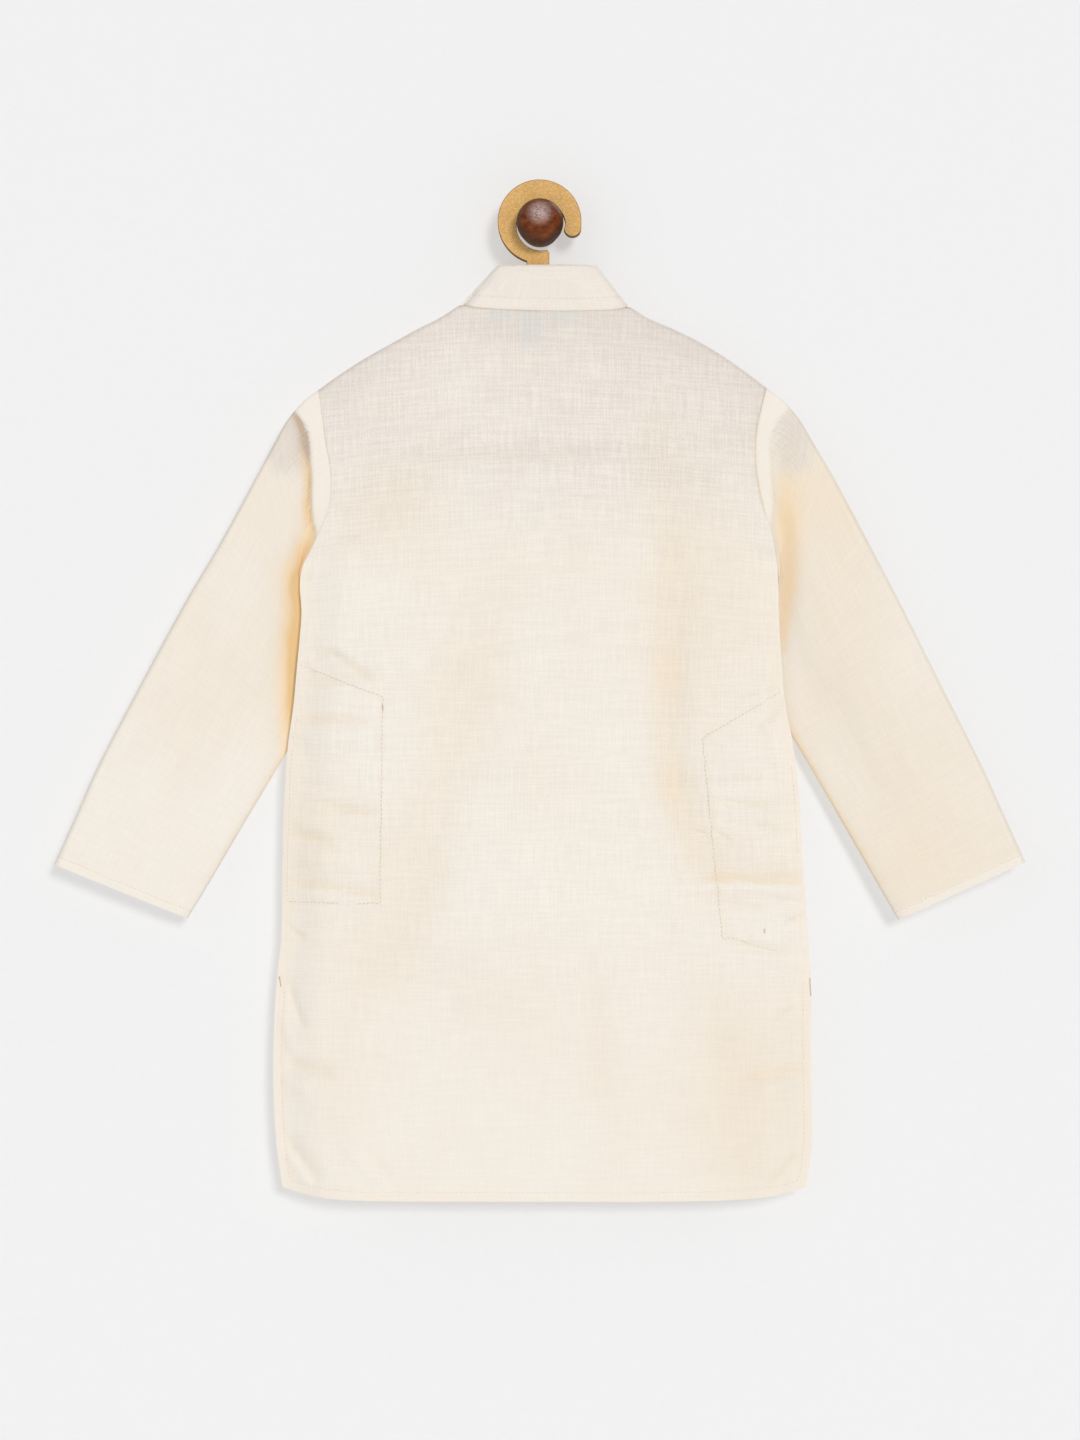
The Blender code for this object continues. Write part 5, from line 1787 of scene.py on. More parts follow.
@dataclass
class Hanger:
    """A one-piece flat board with a hook cut in the same plane."""

    hook_outer: tuple[float, float, float] = (-0.3, 0.7, 27.6)
    hook_inner: tuple[float, float, float] = (0.7, -2.4, 16.2)
    hook_tip: tuple[float, float, float] = (21.5, -3.5, 5.8)
    mouth_corner_z: float = -20.3
    mouth_step: float = 1.5
    bevel: float = 0.35

    def hook(self) -> Array:
        """The hook from the right edge of its neck, round its eye and tip, to the left edge."""
        inner_x, inner_z, inner_r = self.hook_inner
        outer_x, outer_z, outer_r = self.hook_outer
        tip_x, tip_z, tip_r = self.hook_tip
        reach = BOARD.neck_x[1] - self.mouth_step - inner_x
        mouth = -np.degrees(np.arccos(reach / inner_r))
        leave = -180 + np.degrees(np.arccos((outer_x - BOARD.neck_x[0]) / outer_r))
        parts = [
            [(BOARD.neck_x[1], self.mouth_corner_z)],
            arc((inner_x, inner_z), inner_r, mouth, -355.0, 96),
            arc((tip_x, tip_z), tip_r, 190.0, 350.0, 24),
            arc((outer_x, outer_z), outer_r, -4.0, 360 + leave, 120),
        ]
        return np.concatenate(parts)

    def arm(self, side: Side) -> Array:
        """One arm of the board from its neck to the middle of the lower edge."""
        end_x = BOARD.end_centre_x(side)
        neck_x = BOARD.neck_x[side is Side.RIGHT]
        x = np.linspace(neck_x + side.value * BOARD.flare, end_x, 30)
        turn = np.radians(np.linspace(BOARD.end_from, -90, 30))
        radius = BOARD.end_radius
        centre_z = BOARD.end_lower_z + radius
        end = np.stack(
            [end_x + side.value * radius * np.cos(turn), centre_z + radius * np.sin(turn)], axis=-1
        )
        lower_x = np.linspace(end_x, end_x * 0.12, 20)[1:]
        lower_z = blend(BOARD.lower_z, BOARD.end_lower_z, ease(np.abs(lower_x / end_x)))
        top = np.stack([x, BOARD.top(x, side)], axis=-1)
        lower = np.stack([lower_x, lower_z], axis=-1)
        return np.concatenate([[(neck_x, BOARD.neck_lower_z)], top, end, lower])

    def build(self, face: Material, edge: Material) -> Object:
        """Makes the hanger with a small bevel along its cut edges.

        Args:
            face: The material of its two flat faces.
            edge: The material of its cut edges.

        Returns:
            The hanger, riding on the body.
        """
        outline = np.concatenate([self.hook(), self.arm(Side.LEFT), self.arm(Side.RIGHT)[::-1]])
        count = len(outline)
        half = BOARD.thickness / 2
        points = np.concatenate([stack(outline[:, 0], MIDDLE_Y + y, outline[:, 1]) for y in (-half, half)])
        ring = np.arange(count)
        after = (ring + 1) % count
        sides = np.stack([ring, after, after + count, ring + count], axis=-1)
        made = mesh_object("hanger_board", points, [ring[None, ::-1], ring[None] + count, sides], face)
        made.data.materials.append(edge)
        slots = np.ones(count + 2, np.int32)
        slots[:2] = 0
        made.data.polygons.foreach_set("material_index", slots)
        bevel = made.modifiers.new("bevel", "BEVEL")
        bevel.width, bevel.segments, bevel.limit_method = self.bevel * MM, 2, "ANGLE"
        bevel.angle_limit, bevel.material = np.radians(60), 1
        LOG.info("hanger: outline of %d points", count)
        return declared(made, "board", "hanger")


def turned(
    name: str, centre: Array, profile: Array, sides: int, finish: Material, drop: Array | float = 0.0
) -> Object:
    """A solid turned about the Y axis.

    Args:
        name: The piece's name.
        centre: Where its profile's y is 0.
        profile: (y, radius) from end to end, one a row.
        sides: Steps round it.
        finish: Its material.
        drop: How far each of its rings is lowered.

    Returns:
        The linked object.
    """
    angle = np.linspace(0, 2 * np.pi, sides, endpoint=False)
    y, radius = profile.T
    x = centre[0] + radius[:, None] * np.cos(angle)
    z = centre[2] - np.broadcast_to(drop, y.shape)[:, None] + radius[:, None] * np.sin(angle)
    points = stack(x, (centre[1] + y)[:, None], z)
    ids = np.arange(len(y) * sides).reshape(len(y), sides)
    wall = quads(np.hstack([ids, ids[:, :1]]))
    return mesh_object(name, points.reshape(-1, 3), [wall, ids[:1], ids[-1:, ::-1]], finish)


@dataclass
class WallKnob:
    """A turned wooden knob: a stem from the wall, a slight neck and a ball."""

    stem_radius: float = 13.3
    stem_length: float = 24.0
    neck_radius: float = 12.6
    neck_length: float = 2.0
    ball_radius: float = 15.45
    ball_drop: float = 1.3

    def build(self, finish: Material) -> Object:
        """Makes the knob.

        Args:
            finish: Its varnished wood.

        Returns:
            The knob, riding on the body.
        """
        joint = np.degrees(np.arcsin(self.neck_radius / self.ball_radius))
        middle = self.stem_length + self.neck_length + self.ball_radius * np.cos(np.radians(joint))
        turn = np.radians(np.linspace(180 - joint, 0.4, 60))
        ball = np.stack([-middle - self.ball_radius * np.cos(turn), self.ball_radius * np.sin(turn)], axis=-1)
        stem = np.array([(0.0, self.stem_radius - 0.4), (-0.4, self.stem_radius), (-12.0, self.stem_radius)])
        groove = np.array(
            [(-self.stem_length + 0.5, self.stem_radius), (-self.stem_length, self.stem_radius - 0.5)]
        )
        profile = np.concatenate([stem, groove, ball])
        drop = self.ball_drop * ease((-profile[:, 0] - self.stem_length) / 5)
        made = turned("knob_turned", np.zeros(3), profile, 128, finish, drop)
        LOG.info("wall knob: %d rings", len(profile))
        return declared(made, "knob", "wall_knob")


@dataclass
class Button:
    """A round four-hole button sewn to the placket."""

    number: int
    x: float
    z: float
    radius: float = 5.5
    thickness: float = 2.2
    hole_radius: float = 0.75
    hole_offset: float = 1.35
    hole_depth: float = 0.25
    dished: float = 0.77  # height of its sunk middle, as a share of its thickness

    def build(self, seat: float, finish: Material, hole: Material) -> Object:
        """Makes the button.

        Args:
            seat: y of its back.
            finish: Its material.
            hole: The material of its four threaded holes.

        Returns:
            The button, riding on the body.
        """
        section = np.array(
            [(0, 0.3), (0, 0.78), (0.12, 0.9), (0.4, 1.0), (0.75, 0.99), (0.96, 0.93),
             (1, 0.86), (0.96, 0.78), (0.82, 0.7), (self.dished, 0.62), (self.dished, 0.02)]
        )
        profile = section * [self.thickness, self.radius]
        centre = np.array([self.x, seat, self.z])
        made = turned(f"button_{self.number}_disc", centre, profile, 64, finish)
        declared(made, "button", f"button_{self.number}")
        peg = np.array([(0, 0.05), (0, 0.9), (0.3, 1), (0.34, 0.8), (0.3, 0.05)]) * [1.0, self.hole_radius]
        recess = self.thickness * self.dished - self.hole_depth
        for k, (sx, sz) in enumerate(((-1, -1), (1, -1), (1, 1), (-1, 1))):
            spot = centre + np.array([sx * self.hole_offset, recess, sz * self.hole_offset])
            declared(turned(f"button_{self.number}_hole_{k}", spot, peg, 16, hole), "button")
        LOG.info("button %d: %d faces", self.number, len(made.data.polygons))
        return made


# ---------------------------------------------------------------- finishes
class Graph:
    """Shader nodes of one material, added and linked in order."""

    def __init__(self, name: str) -> None:
        """Starts a material with a Principled BSDF."""
        self.material = bpy.data.materials.new(name)
        self.material.use_nodes = True
        self.tree = self.material.node_tree
        self.shader = self.tree.nodes["Principled BSDF"]

    def add(self, kind: str, inputs: dict | None = None, **settings: object) -> bpy.types.Node:
        """Adds one node.

        Args:
            kind: Its type, without the ShaderNode prefix.
            inputs: Sockets or constants by input name or number.
            settings: Its own properties.

        Returns:
            The node.
        """
        node = self.tree.nodes.new(f"ShaderNode{kind}")
        for key, value in settings.items():
            setattr(node, key, value)
        for key, value in (inputs or {}).items():
            if isinstance(value, Socket):
                self.tree.links.new(value, node.inputs[key])
            else:
                node.inputs[key].default_value = value
        return node

    def math(self, operation: str, a: Socket | float, b: Socket | float = 0.0) -> Socket:
        """One number from two."""
        return self.add("Math", {0: a, 1: b}, operation=operation).outputs[0]

    def span(self, value: Socket, low: float, high: float, start: float = 0.0, end: float = 1.0) -> Socket:
        """value carried from low..high to start..end, eased and held at both ends."""
        inputs = {"Value": value, "From Min": low, "From Max": high, "To Min": start, "To Max": end}
        return self.add("MapRange", inputs, interpolation_type="SMOOTHSTEP").outputs["Result"]

    def mix(self, share: Socket | float, a: Socket | Colour, b: Socket | Colour, how: str = "MIX") -> Socket:
        """A colour between two."""
        a, b = (v if isinstance(v, Socket) else (*v, 1.0) for v in (a, b))
        node = self.add("Mix", {0: share, 6: a, 7: b}, data_type="RGBA", blend_type=how)
        return node.outputs[2]

    def grey(self, tone: Socket) -> Socket:
        """A colour with one tone in all its channels."""
        return self.add("CombineColor", {0: tone, 1: tone, 2: tone}).outputs[0]

    def place(self) -> Socket:
        """Object coordinates, in metres."""
        return self.add("TexCoord").outputs["Object"]

    def noise(self, at: Socket, scale: float | tuple, detail: float = 2.0, seed: float = 0.0) -> Socket:
        """Noise from 0 to 1, with one scale or one for each axis, in steps a metre."""
        scale = scale if isinstance(scale, tuple) else (scale, scale, scale)
        shift = (seed, seed * 0.7, seed * 1.3)
        placed = self.add("Mapping", {"Vector": at, "Scale": scale, "Location": shift})
        inputs = {"Vector": placed.outputs[0], "Scale": 1.0, "Detail": detail}
        return self.add("TexNoise", inputs).outputs["Fac"]

    def bump(self, height: Socket, distance: float, strength: float = 1.0) -> None:
        """Sets the shader's normal from a height, distance in millimetres."""
        inputs = {"Height": height, "Distance": distance * MM, "Strength": strength}
        self.tree.links.new(self.add("Bump", inputs).outputs[0], self.shader.inputs["Normal"])

    def set(self, **values: Socket | float | tuple) -> None:
        """Sets or links the shader's inputs, with _ for the spaces in their names."""
        for key, value in values.items():
            socket = self.shader.inputs[key.replace("_", " ").title().replace("Ior", "IOR")]
            if isinstance(value, Socket):
                self.tree.links.new(value, socket)
            elif len(np.shape(value)) and len(value) == 3:
                socket.default_value = (*value, 1.0)
            else:
                socket.default_value = value


@dataclass(frozen=True)
class CottonFinish:
    """Crumpled hand-loom cotton: warp and weft streaks, slubs, the labels' tint, warm tints, and painted shade, warm
    shade and glow.
    """

    name: str = "cotton_slub"
    base: Colour = (0.898, 0.842, 0.766)
    shade: Colour = (0.880, 0.812, 0.720)
    # board: painted shade of the board behind the cloth
    board: Colour = (0.715, 0.637, 0.578)
    label: Colour = (0.53, 0.66, 0.68)
    # tan, gold and amber: the warm tints, and painted warm shade and glow in folds and hollows
    tan: Colour = (0.765, 0.60, 0.36)
    gold: Colour = (0.895, 0.625, 0.315)
    amber: Colour = (0.83, 0.575, 0.29)  # painted: the strongest of the warm shade and glow
    deep: Colour = (0.555, 0.435, 0.325)  # painted deep shade, where several layers and the board shade each other
    doubled: Colour = (0.905, 0.830, 0.737)
    warp: float = 900.0  # threads a metre
    weft: float = 780.0
    grain: float = 1300.0
    streak: float = 40.0  # runs of a slub a metre
    slubs: tuple[float, float] = (0.36, 0.66)  # levels of noise between thin and thick thread
    shares: tuple[float, float, float] = (0.19, 0.16, 0.65)  # of warp, weft and grain
    over_doubled: float = 0.8  # how much doubled cloth takes its own colour
    painted_shade_share: float = 0.42  # and how much the painted shade of the board takes
    to_gold: tuple[float, float] = (0.12, 0.55)  # levels of the warm tints and painted warm shade
    to_amber: tuple[float, float] = (0.62, 0.95)
    to_deep: tuple[float, float] = (1.9, 3.9)  # levels of the painted shade
    contrast: float = 0.122
    upper: float = 0.085  # what is added to it on the upper body
    over_board: float = 0.2  # and by the board behind
    doubled_less: float = 0.065  # what doubled cloth takes from it

    def build(self) -> Material:
        """Makes the material."""
        g = Graph(self.name)
        at = g.add("UVMap", uv_map="weave").outputs["UV"]
        marks = g.add("Attribute", attribute_name="marks", attribute_type="GEOMETRY")
        shown = g.add("SeparateColor", {"Color": marks.outputs["Color"]})
        painted_shade, label, warm = (shown.outputs[k] for k in range(3))
        dense = marks.outputs["Alpha"]
        warp = g.span(g.noise(at, (self.warp, self.streak, 1.0), 2.0, 3.1), *self.slubs)
        weft = g.span(g.noise(at, (self.streak, self.weft, 1.0), 2.0, 8.7), *self.slubs)
        grain = g.noise(at, (self.grain, self.grain, 1.0), 2.0, 1.9)
        cloudy = g.noise(at, (21.0, 15.0, 1.0), 3.0, 5.3)
        layers = zip((warp, weft, grain), self.shares)
        warp, weft, grain = (g.math("MULTIPLY", layer, share) for layer, share in layers)
        threads = g.math("ADD", g.math("ADD", warp, weft), grain)
        colour = g.mix(g.span(cloudy, 0.35, 0.7, 0.0, 0.4), self.base, self.shade)
        colour = g.mix(g.math("MULTIPLY", dense, self.over_doubled), colour, self.doubled)
        # painted shade of the board and seams, the labels' tint, then warm tints with painted warm shade and glow,
        # then painted deep shade
        colour = g.mix(g.math("MULTIPLY", painted_shade, self.painted_shade_share), colour, self.board)
        tinted = g.math("MULTIPLY", label, g.span(threads, 0.35, 0.65, 0.12, 0.3))
        colour = g.mix(tinted, colour, self.label)
        lit = g.mix(g.span(warm, *self.to_gold), self.tan, self.gold)
        colour = g.mix(warm, colour, g.mix(g.span(warm, *self.to_amber), lit, self.amber))
        colour = g.mix(g.span(painted_shade, *self.to_deep), colour, self.deep)
        down = g.add("SeparateXYZ", {0: at}).outputs[1]
        upper = g.math("MULTIPLY", g.span(down, -0.60, -0.40), g.span(down, -0.03, -0.01, self.upper, 0.0))
        over = g.math("MULTIPLY", g.math("MINIMUM", painted_shade, 0.9), self.over_board)
        contrast = g.math("ADD", over, self.contrast)
        less = g.math("MULTIPLY", dense, self.doubled_less)
        contrast = g.math("SUBTRACT", g.math("ADD", contrast, upper), less)
        tone = g.math("ADD", g.math("MULTIPLY", g.math("SUBTRACT", threads, 0.5), contrast), 1.0)
        grey = g.grey(tone)
        g.set(
            base_color=g.mix(1.0, colour, grey, "MULTIPLY"),
            roughness=g.span(threads, 0.3, 0.7, 0.86, 0.98),
            sheen_weight=0.12,
            sheen_roughness=0.6,
            specular_ior_level=0.2,
        )
        g.bump(threads, 0.14, 0.7)
        return g.material


@dataclass(frozen=True)
class LabelFinish:
    """Close damask tape, blank, with a fine twill."""

    name: str = "label_tape"
    base: Colour = (0.33, 0.50, 0.52)
    light: Colour = (0.42, 0.58, 0.60)

    def build(self) -> Material:
        """Makes the material."""
        g = Graph(self.name)
        at = g.add("UVMap", uv_map="weave").outputs["UV"]
        placed = g.add("Mapping", {"Vector": at, "Rotation": (0.0, 0.0, 0.6)})
        inputs = {"Vector": placed.outputs[0], "Scale": 900.0, "Distortion": 0.4}
        twill = g.add("TexWave", inputs).outputs["Fac"]
        worn = g.noise(at, (160.0, 160.0, 1.0), 3.0, 2.0)
        g.set(base_color=g.mix(g.math("MULTIPLY", twill, worn), self.base, self.light), roughness=0.72)
        g.bump(twill, 0.06)
        return g.material


@dataclass(frozen=True)
class ThreadFinish:
    """Cotton sewing thread with a twist."""

    name: str = "thread_cotton"
    base: Colour = (0.83, 0.73, 0.60)
    dark: Colour = (0.68, 0.55, 0.41)

    def build(self) -> Material:
        """Makes the material."""
        g = Graph(self.name)
        at = g.place()
        ply = g.noise(at, 2600.0, 2.0, 4.0)
        length = g.noise(at, 90.0, 2.0, 6.0)
        colour = g.mix(g.span(ply, 0.35, 0.7), self.dark, self.base)
        g.set(base_color=g.mix(g.span(length, 0.3, 0.7, 0.0, 0.25), colour, self.base), roughness=0.8)
        g.bump(ply, 0.05)
        return g.material


@dataclass(frozen=True)
class BoardFinish:
    """Pressed fibre board, cut by a laser: speckled faces or scorched edges."""

    name: str
    base: Colour = (0.70, 0.385, 0.10)
    fleck: Colour = (0.85, 0.55, 0.22)
    dark: Colour = (0.46, 0.235, 0.06)
    roughness: float = 0.62

    def build(self) -> Material:
        """Makes the material."""
        g = Graph(self.name)
        at = g.place()
        fibres = g.noise(at, (700.0, 700.0, 1500.0), 4.0, 2.0)
        specks = g.noise(at, 1500.0, 3.0, 9.0)
        broad = g.noise(at, 45.0, 3.0, 4.0)
        colour = g.mix(g.span(fibres, 0.38, 0.66), self.base, self.fleck)
        colour = g.mix(g.span(specks, 0.55, 0.75, 0.0, 0.55), colour, self.dark)
        colour = g.mix(g.span(broad, 0.35, 0.7, 0.0, 0.22), colour, self.dark)
        g.set(base_color=colour, roughness=g.span(fibres, 0.3, 0.7, self.roughness, self.roughness + 0.15))
        g.bump(fibres, 0.08, 0.7)
        return g.material


@dataclass(frozen=True)
class KnobFinish:
    """Dark varnished wood with a fine speckled grain, a painted highlight on the ball's upper front and painted shade
    towards its rim.
    """

    name: str = "knob_varnish"
    base: Colour = (0.105, 0.022, 0.0035)
    light: Colour = (0.25, 0.062, 0.011)
    edge: Colour = (0.05, 0.012, 0.003)  # painted shade, darker away from the middle of the ball
    painted_highlight: Colour = (0.72, 0.60, 0.57)  # painted highlight on the ball's upper front
    highlight_at: tuple[float, float] = (-0.3, 3.6)

    def build(self) -> Material:
        """Makes the material."""
        g = Graph(self.name)
        at = g.place()
        grain = g.noise(at, (190.0, 120.0, 330.0), 3.0, 3.0)
        pores = g.noise(at, (900.0, 900.0, 1100.0), 3.0, 5.0)
        colour = g.mix(g.span(grain, 0.3, 0.75), self.base, self.light)
        flat = g.add("VectorMath", {0: at, 1: (1.0, 0.0, 1.0)}, operation="MULTIPLY").outputs[0]
        out = g.add("VectorMath", {0: flat}, operation="LENGTH").outputs["Value"]
        # painted highlight: a speckled patch on the ball's upper front
        spot = (self.highlight_at[0] * MM, 0.0, self.highlight_at[1] * MM)
        off = g.add("VectorMath", {0: flat, 1: spot}, operation="DISTANCE").outputs["Value"]
        near = g.span(off, 0.001, 0.0108, 0.66, 0.0)
        highlight_share = g.math("MULTIPLY", near, g.span(pores, 0.3, 0.62, 0.3, 1.0))
        colour = g.mix(highlight_share, colour, self.painted_highlight)
        # painted shade towards the ball's rim
        g.set(
            base_color=g.mix(g.span(out, 0.0115, 0.0156), colour, self.edge),
            roughness=g.span(pores, 0.35, 0.7, 0.36, 0.5),
            specular_ior_level=0.22,
        )
        g.bump(pores, 0.12, 0.9)
        return g.material


@dataclass(frozen=True)
class ButtonFinish:
    """Pale polyester with a faint pearly cloud."""

    name: str
    base: Colour = (0.80, 0.75, 0.66)
    cloud: Colour = (0.70, 0.63, 0.53)

    def build(self) -> Material:
        """Makes the material."""
        g = Graph(self.name)
        at = g.place()
        cloud = g.noise(at, 240.0, 3.0, 7.0)
        scuffs = g.noise(at, 2200.0, 2.0, 3.0)
        g.set(
            base_color=g.mix(g.span(cloud, 0.35, 0.65), self.base, self.cloud),
            roughness=g.span(scuffs, 0.35, 0.7, 0.28, 0.42),
        )
        g.bump(scuffs, 0.02, 0.4)
        return g.material


# ---------------------------------------------------------------- studio
@dataclass
class Studio:
    """A plain pale wall and floor, wide soft lights, and a camera square to the wall."""

    distance: float = 2300.0
    focus_y: float = -24.5
    centre_z: float = -328.5
    seen_height: float = 950.4
    sensor: float = 36.0
    wall_tone: float = 0.877
    floor_z: float = -1010.0
    ambient: float = 0.46
    mirrored: float = 0.12  # what polished things reflect of it
    wall_glow: float = 0.46  # share of the wall's tone that no shadow dims

    def camera(self) -> None:
        """Makes the scene's camera, level and square to the wall."""
        data = bpy.data.cameras.new("camera")
        data.sensor_width = self.sensor
        data.lens = self.sensor * self.distance / self.seen_height
        made = linked("camera", data)
        made.location = (0.0, (self.focus_y - self.distance) * MM, self.centre_z * MM)
        made.rotation_euler = (np.pi / 2, 0.0, 0.0)
        bpy.context.scene.camera = made

    def sun(self, name: str, strength: float, spread: float, turn: float, height: float) -> None:
        """A wide distant light, from turn degrees right of square on and height degrees up."""
        data = bpy.data.lights.new(name, "SUN")
        data.energy = strength
        data.angle = np.radians(spread)
        made = linked(name, data)
        made.rotation_euler = (np.radians(90 - height), 0.0, np.radians(turn))
        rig.stage(made)

    def surface(self, name: str, corners: Array, seen_from_front: bool) -> None:
        """A pale plane. One seen from the front only catches shadows but stops no light.

        Args:
            name: Its name.
            corners: Its four corners, in millimetres.
            seen_from_front: Whether it is left out for every other kind of ray.
        """
        g = Graph(f"{name}_paint")
        g.tree.nodes.remove(g.shader)
        at = g.place()
        stipple = g.noise(at, 260.0, 3.0, 1.0)
        tone = g.span(stipple, 0.2, 0.8, self.wall_tone - 0.004, self.wall_tone + 0.004)
        grey = g.grey(tone)
        paint = g.add("BsdfDiffuse", {"Color": grey}).outputs[0]
        if seen_from_front:
            light = g.add("LightPath").outputs["Is Camera Ray"]
            behind = g.add("NewGeometry").outputs["Backfacing"]
            share = g.math("MULTIPLY", light, g.math("SUBTRACT", 1.0, behind))
            clear = g.add("BsdfTransparent").outputs[0]
            glow = g.add("Emission", {"Color": grey}).outputs[0]
            paint = g.add("MixShader", {0: self.wall_glow, 1: paint, 2: glow}).outputs[0]
            paint = g.add("MixShader", {0: share, 1: clear, 2: paint}).outputs[0]
        g.tree.links.new(paint, g.tree.nodes["Material Output"].inputs["Surface"])
        mesh = bpy.data.meshes.new(name)
        mesh.from_pydata([tuple(c) for c in corners * MM], [], [(0, 1, 2, 3)])
        mesh.materials.append(g.material)
        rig.stage(linked(name, mesh))

    def sky(self) -> None:
        """Even light from all round, which the camera sees as the wall's tone."""
        world = bpy.data.worlds.new("studio")
        world.use_nodes = True
        tree = world.node_tree
        background = tree.nodes["Background"]
        seen = tree.nodes.new("ShaderNodeLightPath")
        mix = tree.nodes.new("ShaderNodeMix")
        dim = tree.nodes.new("ShaderNodeMix")
        dim.inputs[2].default_value = self.ambient
        dim.inputs[3].default_value = self.mirrored
        tree.links.new(seen.outputs["Is Glossy Ray"], dim.inputs[0])
        tree.links.new(dim.outputs[0], mix.inputs[2])
        mix.inputs[3].default_value = self.wall_tone
        tree.links.new(seen.outputs["Is Camera Ray"], mix.inputs[0])
        tree.links.new(mix.outputs[0], background.inputs["Strength"])
        background.inputs["Color"].default_value = (1.0, 1.0, 1.0, 1.0)
        bpy.context.scene.world = world

    def build(self) -> None:
        """Makes the whole studio."""
        wide, high, low = 3000.0, 2500.0, self.floor_z
        wall = np.array([(-wide, 0, low), (wide, 0, low), (wide, 0, high), (-wide, 0, high)])
        floor = np.array([(-wide, -wide, low), (wide, -wide, low), (wide, wide, low), (-wide, wide, low)])
        self.surface("wall", wall, seen_from_front=True)
        self.surface("floor", floor, seen_from_front=False)
        self.sun("key", 1.37, 15.0, 17.0, 16.0)
        self.sun("fill", 0.36, 60.0, -38.0, 8.0)
        self.sun("rear_key", 0.8, 30.0, 150.0, 30.0)
        self.sun("rear_fill", 0.45, 60.0, 215.0, 15.0)
        self.sky()
        self.camera()
        bpy.context.scene.view_settings.view_transform = "Standard"
        LOG.info("studio: camera %.0f mm off", self.distance)


# ---------------------------------------------------------------- the whole scene
PLACKET_WIDTH, PLACKET_LENGTH = 24.0, 150.0
PLACKET_DROP = 1.0  # below the neck edge
BUTTON_DROPS = (18.0, 65.0, 112.0)


def sleeves(cotton: Material) -> list[Line]:
    """Makes both sleeves, and returns the stitched lines of their cuffs."""
    left = Sleeve("sleeve_left_cloth", Side.LEFT, SLEEVE_LEFT, VALLEY_LEFT, BAND_LEFT, LEFT_CREASES)
    right = Sleeve("sleeve_right_cloth", Side.RIGHT, SLEEVE_RIGHT, VALLEY_RIGHT, BAND_RIGHT, RIGHT_CREASES)
    right.seam_dip, right.fold_glow, right.tanned, right.paler_cuff = 0.5, 0.3, 0.235, 0.0
    right.head, right.head_seam, right.seam_shade = 1.0, 0.5, 0.5
    return [sleeve.build(cotton)[1] for sleeve in (left, right)]


def placket(front: Panel, cotton: Material, thread: Material) -> float:
    """Makes the placket with its stitches, and returns the height of its top."""
    top = float(FORM.top_line(np.array(FORM.neck_x), Face.FRONT)) - PLACKET_DROP
    low = top - PLACKET_LENGTH
    left, right = FORM.neck_x - PLACKET_WIDTH / 2, FORM.neck_x + PLACKET_WIDTH / 2
    lines = [front.line([(x, low + 2), (x, top - 2)], 2.25) for x in (left + 1.8, right - 1.8)]
    lines.append(front.line([(left + 2, low + 2), (right - 2, low + 2)], 2.25))
    stitches = Stitches().build("placket_stitches", lines, thread)
    size = (PLACKET_WIDTH, PLACKET_LENGTH)
    patch = Patch("placket", front, 1.2, 1.0, "cotton", size, size[0] * size[1], (24, 90))
    patch.build(np.array([(left, low), (right, low), (right, top), (left, top)]), cotton, stitches)
    return top


def buttons(front: Panel, top: float) -> None:
    """Makes the buttons, down from the top of the placket."""
    pearl = ButtonFinish("button_pearl").build()
    hole = ButtonFinish("button_thread", base=(0.62, 0.55, 0.46), cloud=(0.48, 0.42, 0.35)).build()
    for number, drop in enumerate(BUTTON_DROPS, start=1):
        seat = front.skin(np.array(FORM.neck_x), np.array(top - drop), 2.35)[1]
        Button(number, FORM.neck_x, top - drop).build(float(seat), pearl, hole)


def pockets(back: Panel, cotton: Material) -> None:
    """Makes the pocket bags inside the back."""
    for side, pocket in POCKET_FORMS.items():
        order = [3, 2, 1, 0] if side is Side.LEFT else [2, 3, 0, 1]
        patch = Patch(f"pocket_{side.name.lower()}", back, -1.3, 0.7, "cotton", (66.0, 152.0), 8600.0)
        patch.build(pocket.corners()[order], cotton)


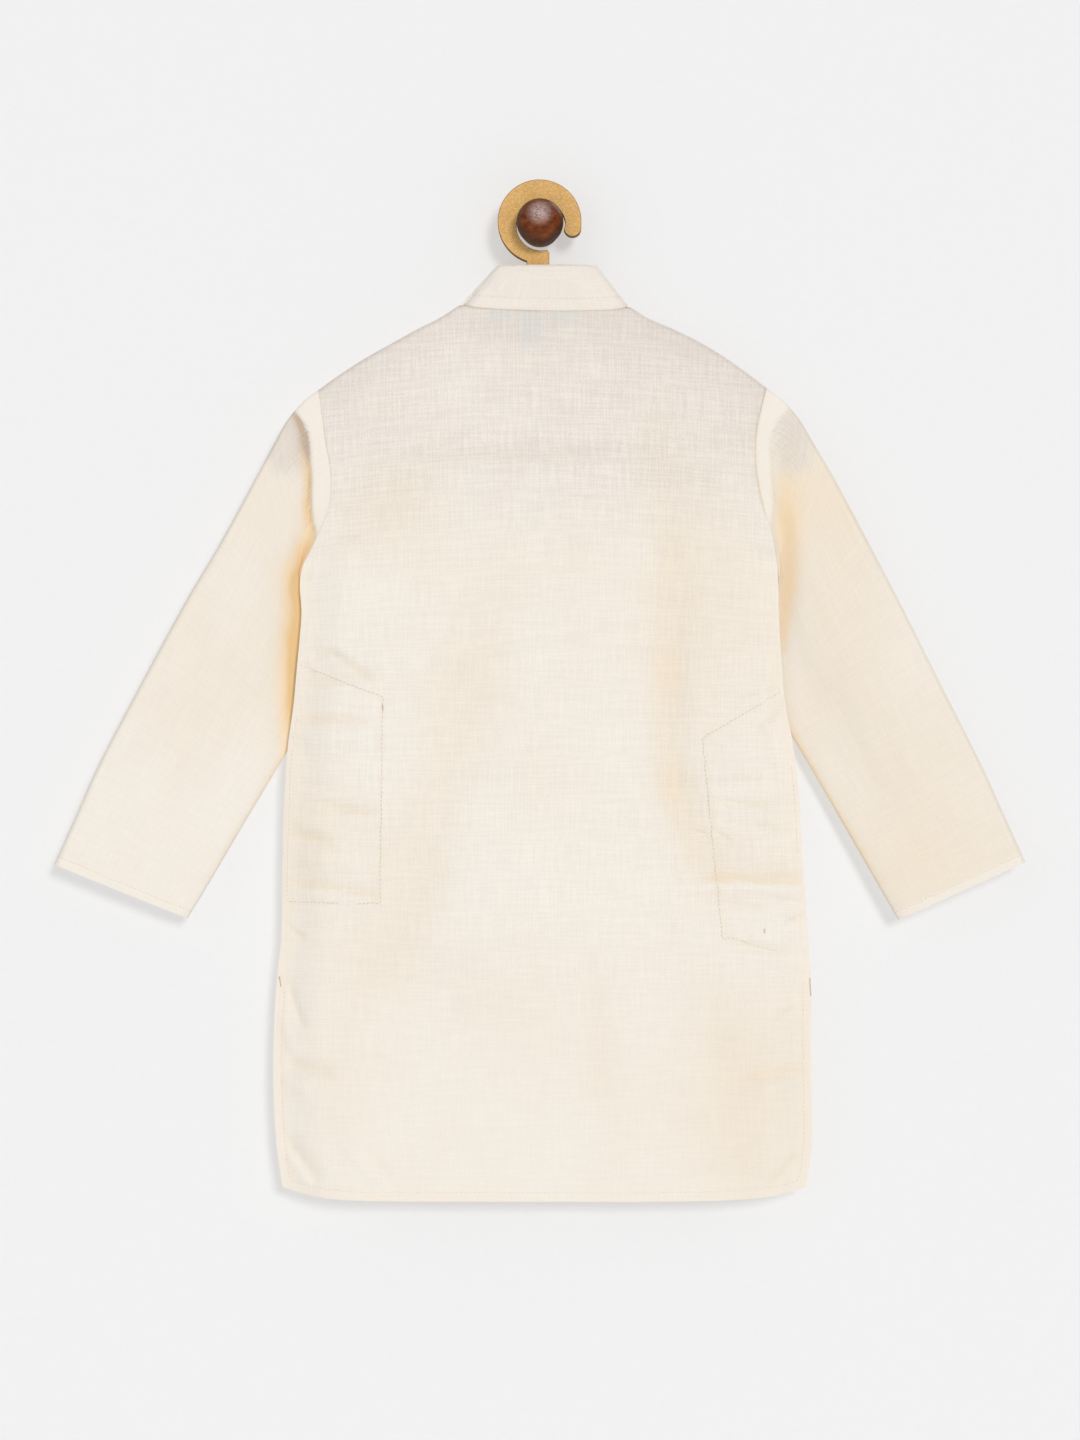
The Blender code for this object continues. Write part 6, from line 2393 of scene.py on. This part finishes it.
def labels(back: Panel) -> None:
    """Makes the two blank labels inside the back of the neck."""
    tape = LabelFinish().build()
    for name, (x0, x1, top, bottom) in LABELS.items():
        corners = np.array([(x0, bottom), (x1, bottom), (x1, top), (x0, top)])
        size = (x1 - x0, top - bottom)
        Patch(name, back, -1.2, 0.6, "label", size, size[0] * size[1], (24, 18)).build(corners, tape)


def main() -> None:
    """Builds every piece in order, then the studio."""
    logging.basicConfig(level=logging.INFO, format="%(name)s: %(message)s")
    cotton, thread = CottonFinish().build(), ThreadFinish().build()
    brown = ThreadFinish("thread_brown", base=(0.76, 0.65, 0.515), dark=(0.55, 0.43, 0.31)).build()
    scorch = {"base": (0.20, 0.10, 0.035), "fleck": (0.30, 0.16, 0.06), "dark": (0.09, 0.045, 0.02)}
    Hanger().build(BoardFinish("board_face").build(), BoardFinish("board_edge", **scorch).build())
    WallKnob().build(KnobFinish().build())

    back = Panel("back_panel_cloth", Face.BACK, BACK_CREASES, 84, 78, 330, 9, 190000.0)
    front = Panel("front_panel_cloth", Face.FRONT, FRONT_CREASES, 60, 48, 213, 6, 188000.0)
    back.build(cotton)
    front.build(cotton)
    cuffs = sleeves(cotton)
    collar_lines = Collar().build(cotton)[1]
    buttons(front, placket(front, cotton, thread))
    pockets(back, cotton)
    labels(back)

    seams = {
        "hem_stitches": (back.hem_lines() + front.hem_lines(), thread),
        "cuff_stitches": (cuffs, thread),
        "collar_stitches": (collar_lines, thread),
        "pocket_stitches": ([back.line(path) for path in POCKET_SEAMS], brown),
        "side_stitches": (back.side_lines(), thread),
    }
    for name, (lines, finish) in seams.items():
        Stitches().build(name, lines, finish)
    tacks = Stitches(pitch=1.0, length=0.95, width=1.2, height=0.3, sunk=0.1, stray=0.06)
    tacks.build("tack_stitches", [back.line(path) for path in TACKS], brown)
    Studio().build()
    sizes = {"cad": CAD_BOX, "scene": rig.bounds()}
    with open(SIZE_FILE, "w") as file:
        json.dump(sizes, file, default=lambda value: [float(x) for x in value])


if __name__ == "__main__":
    main()
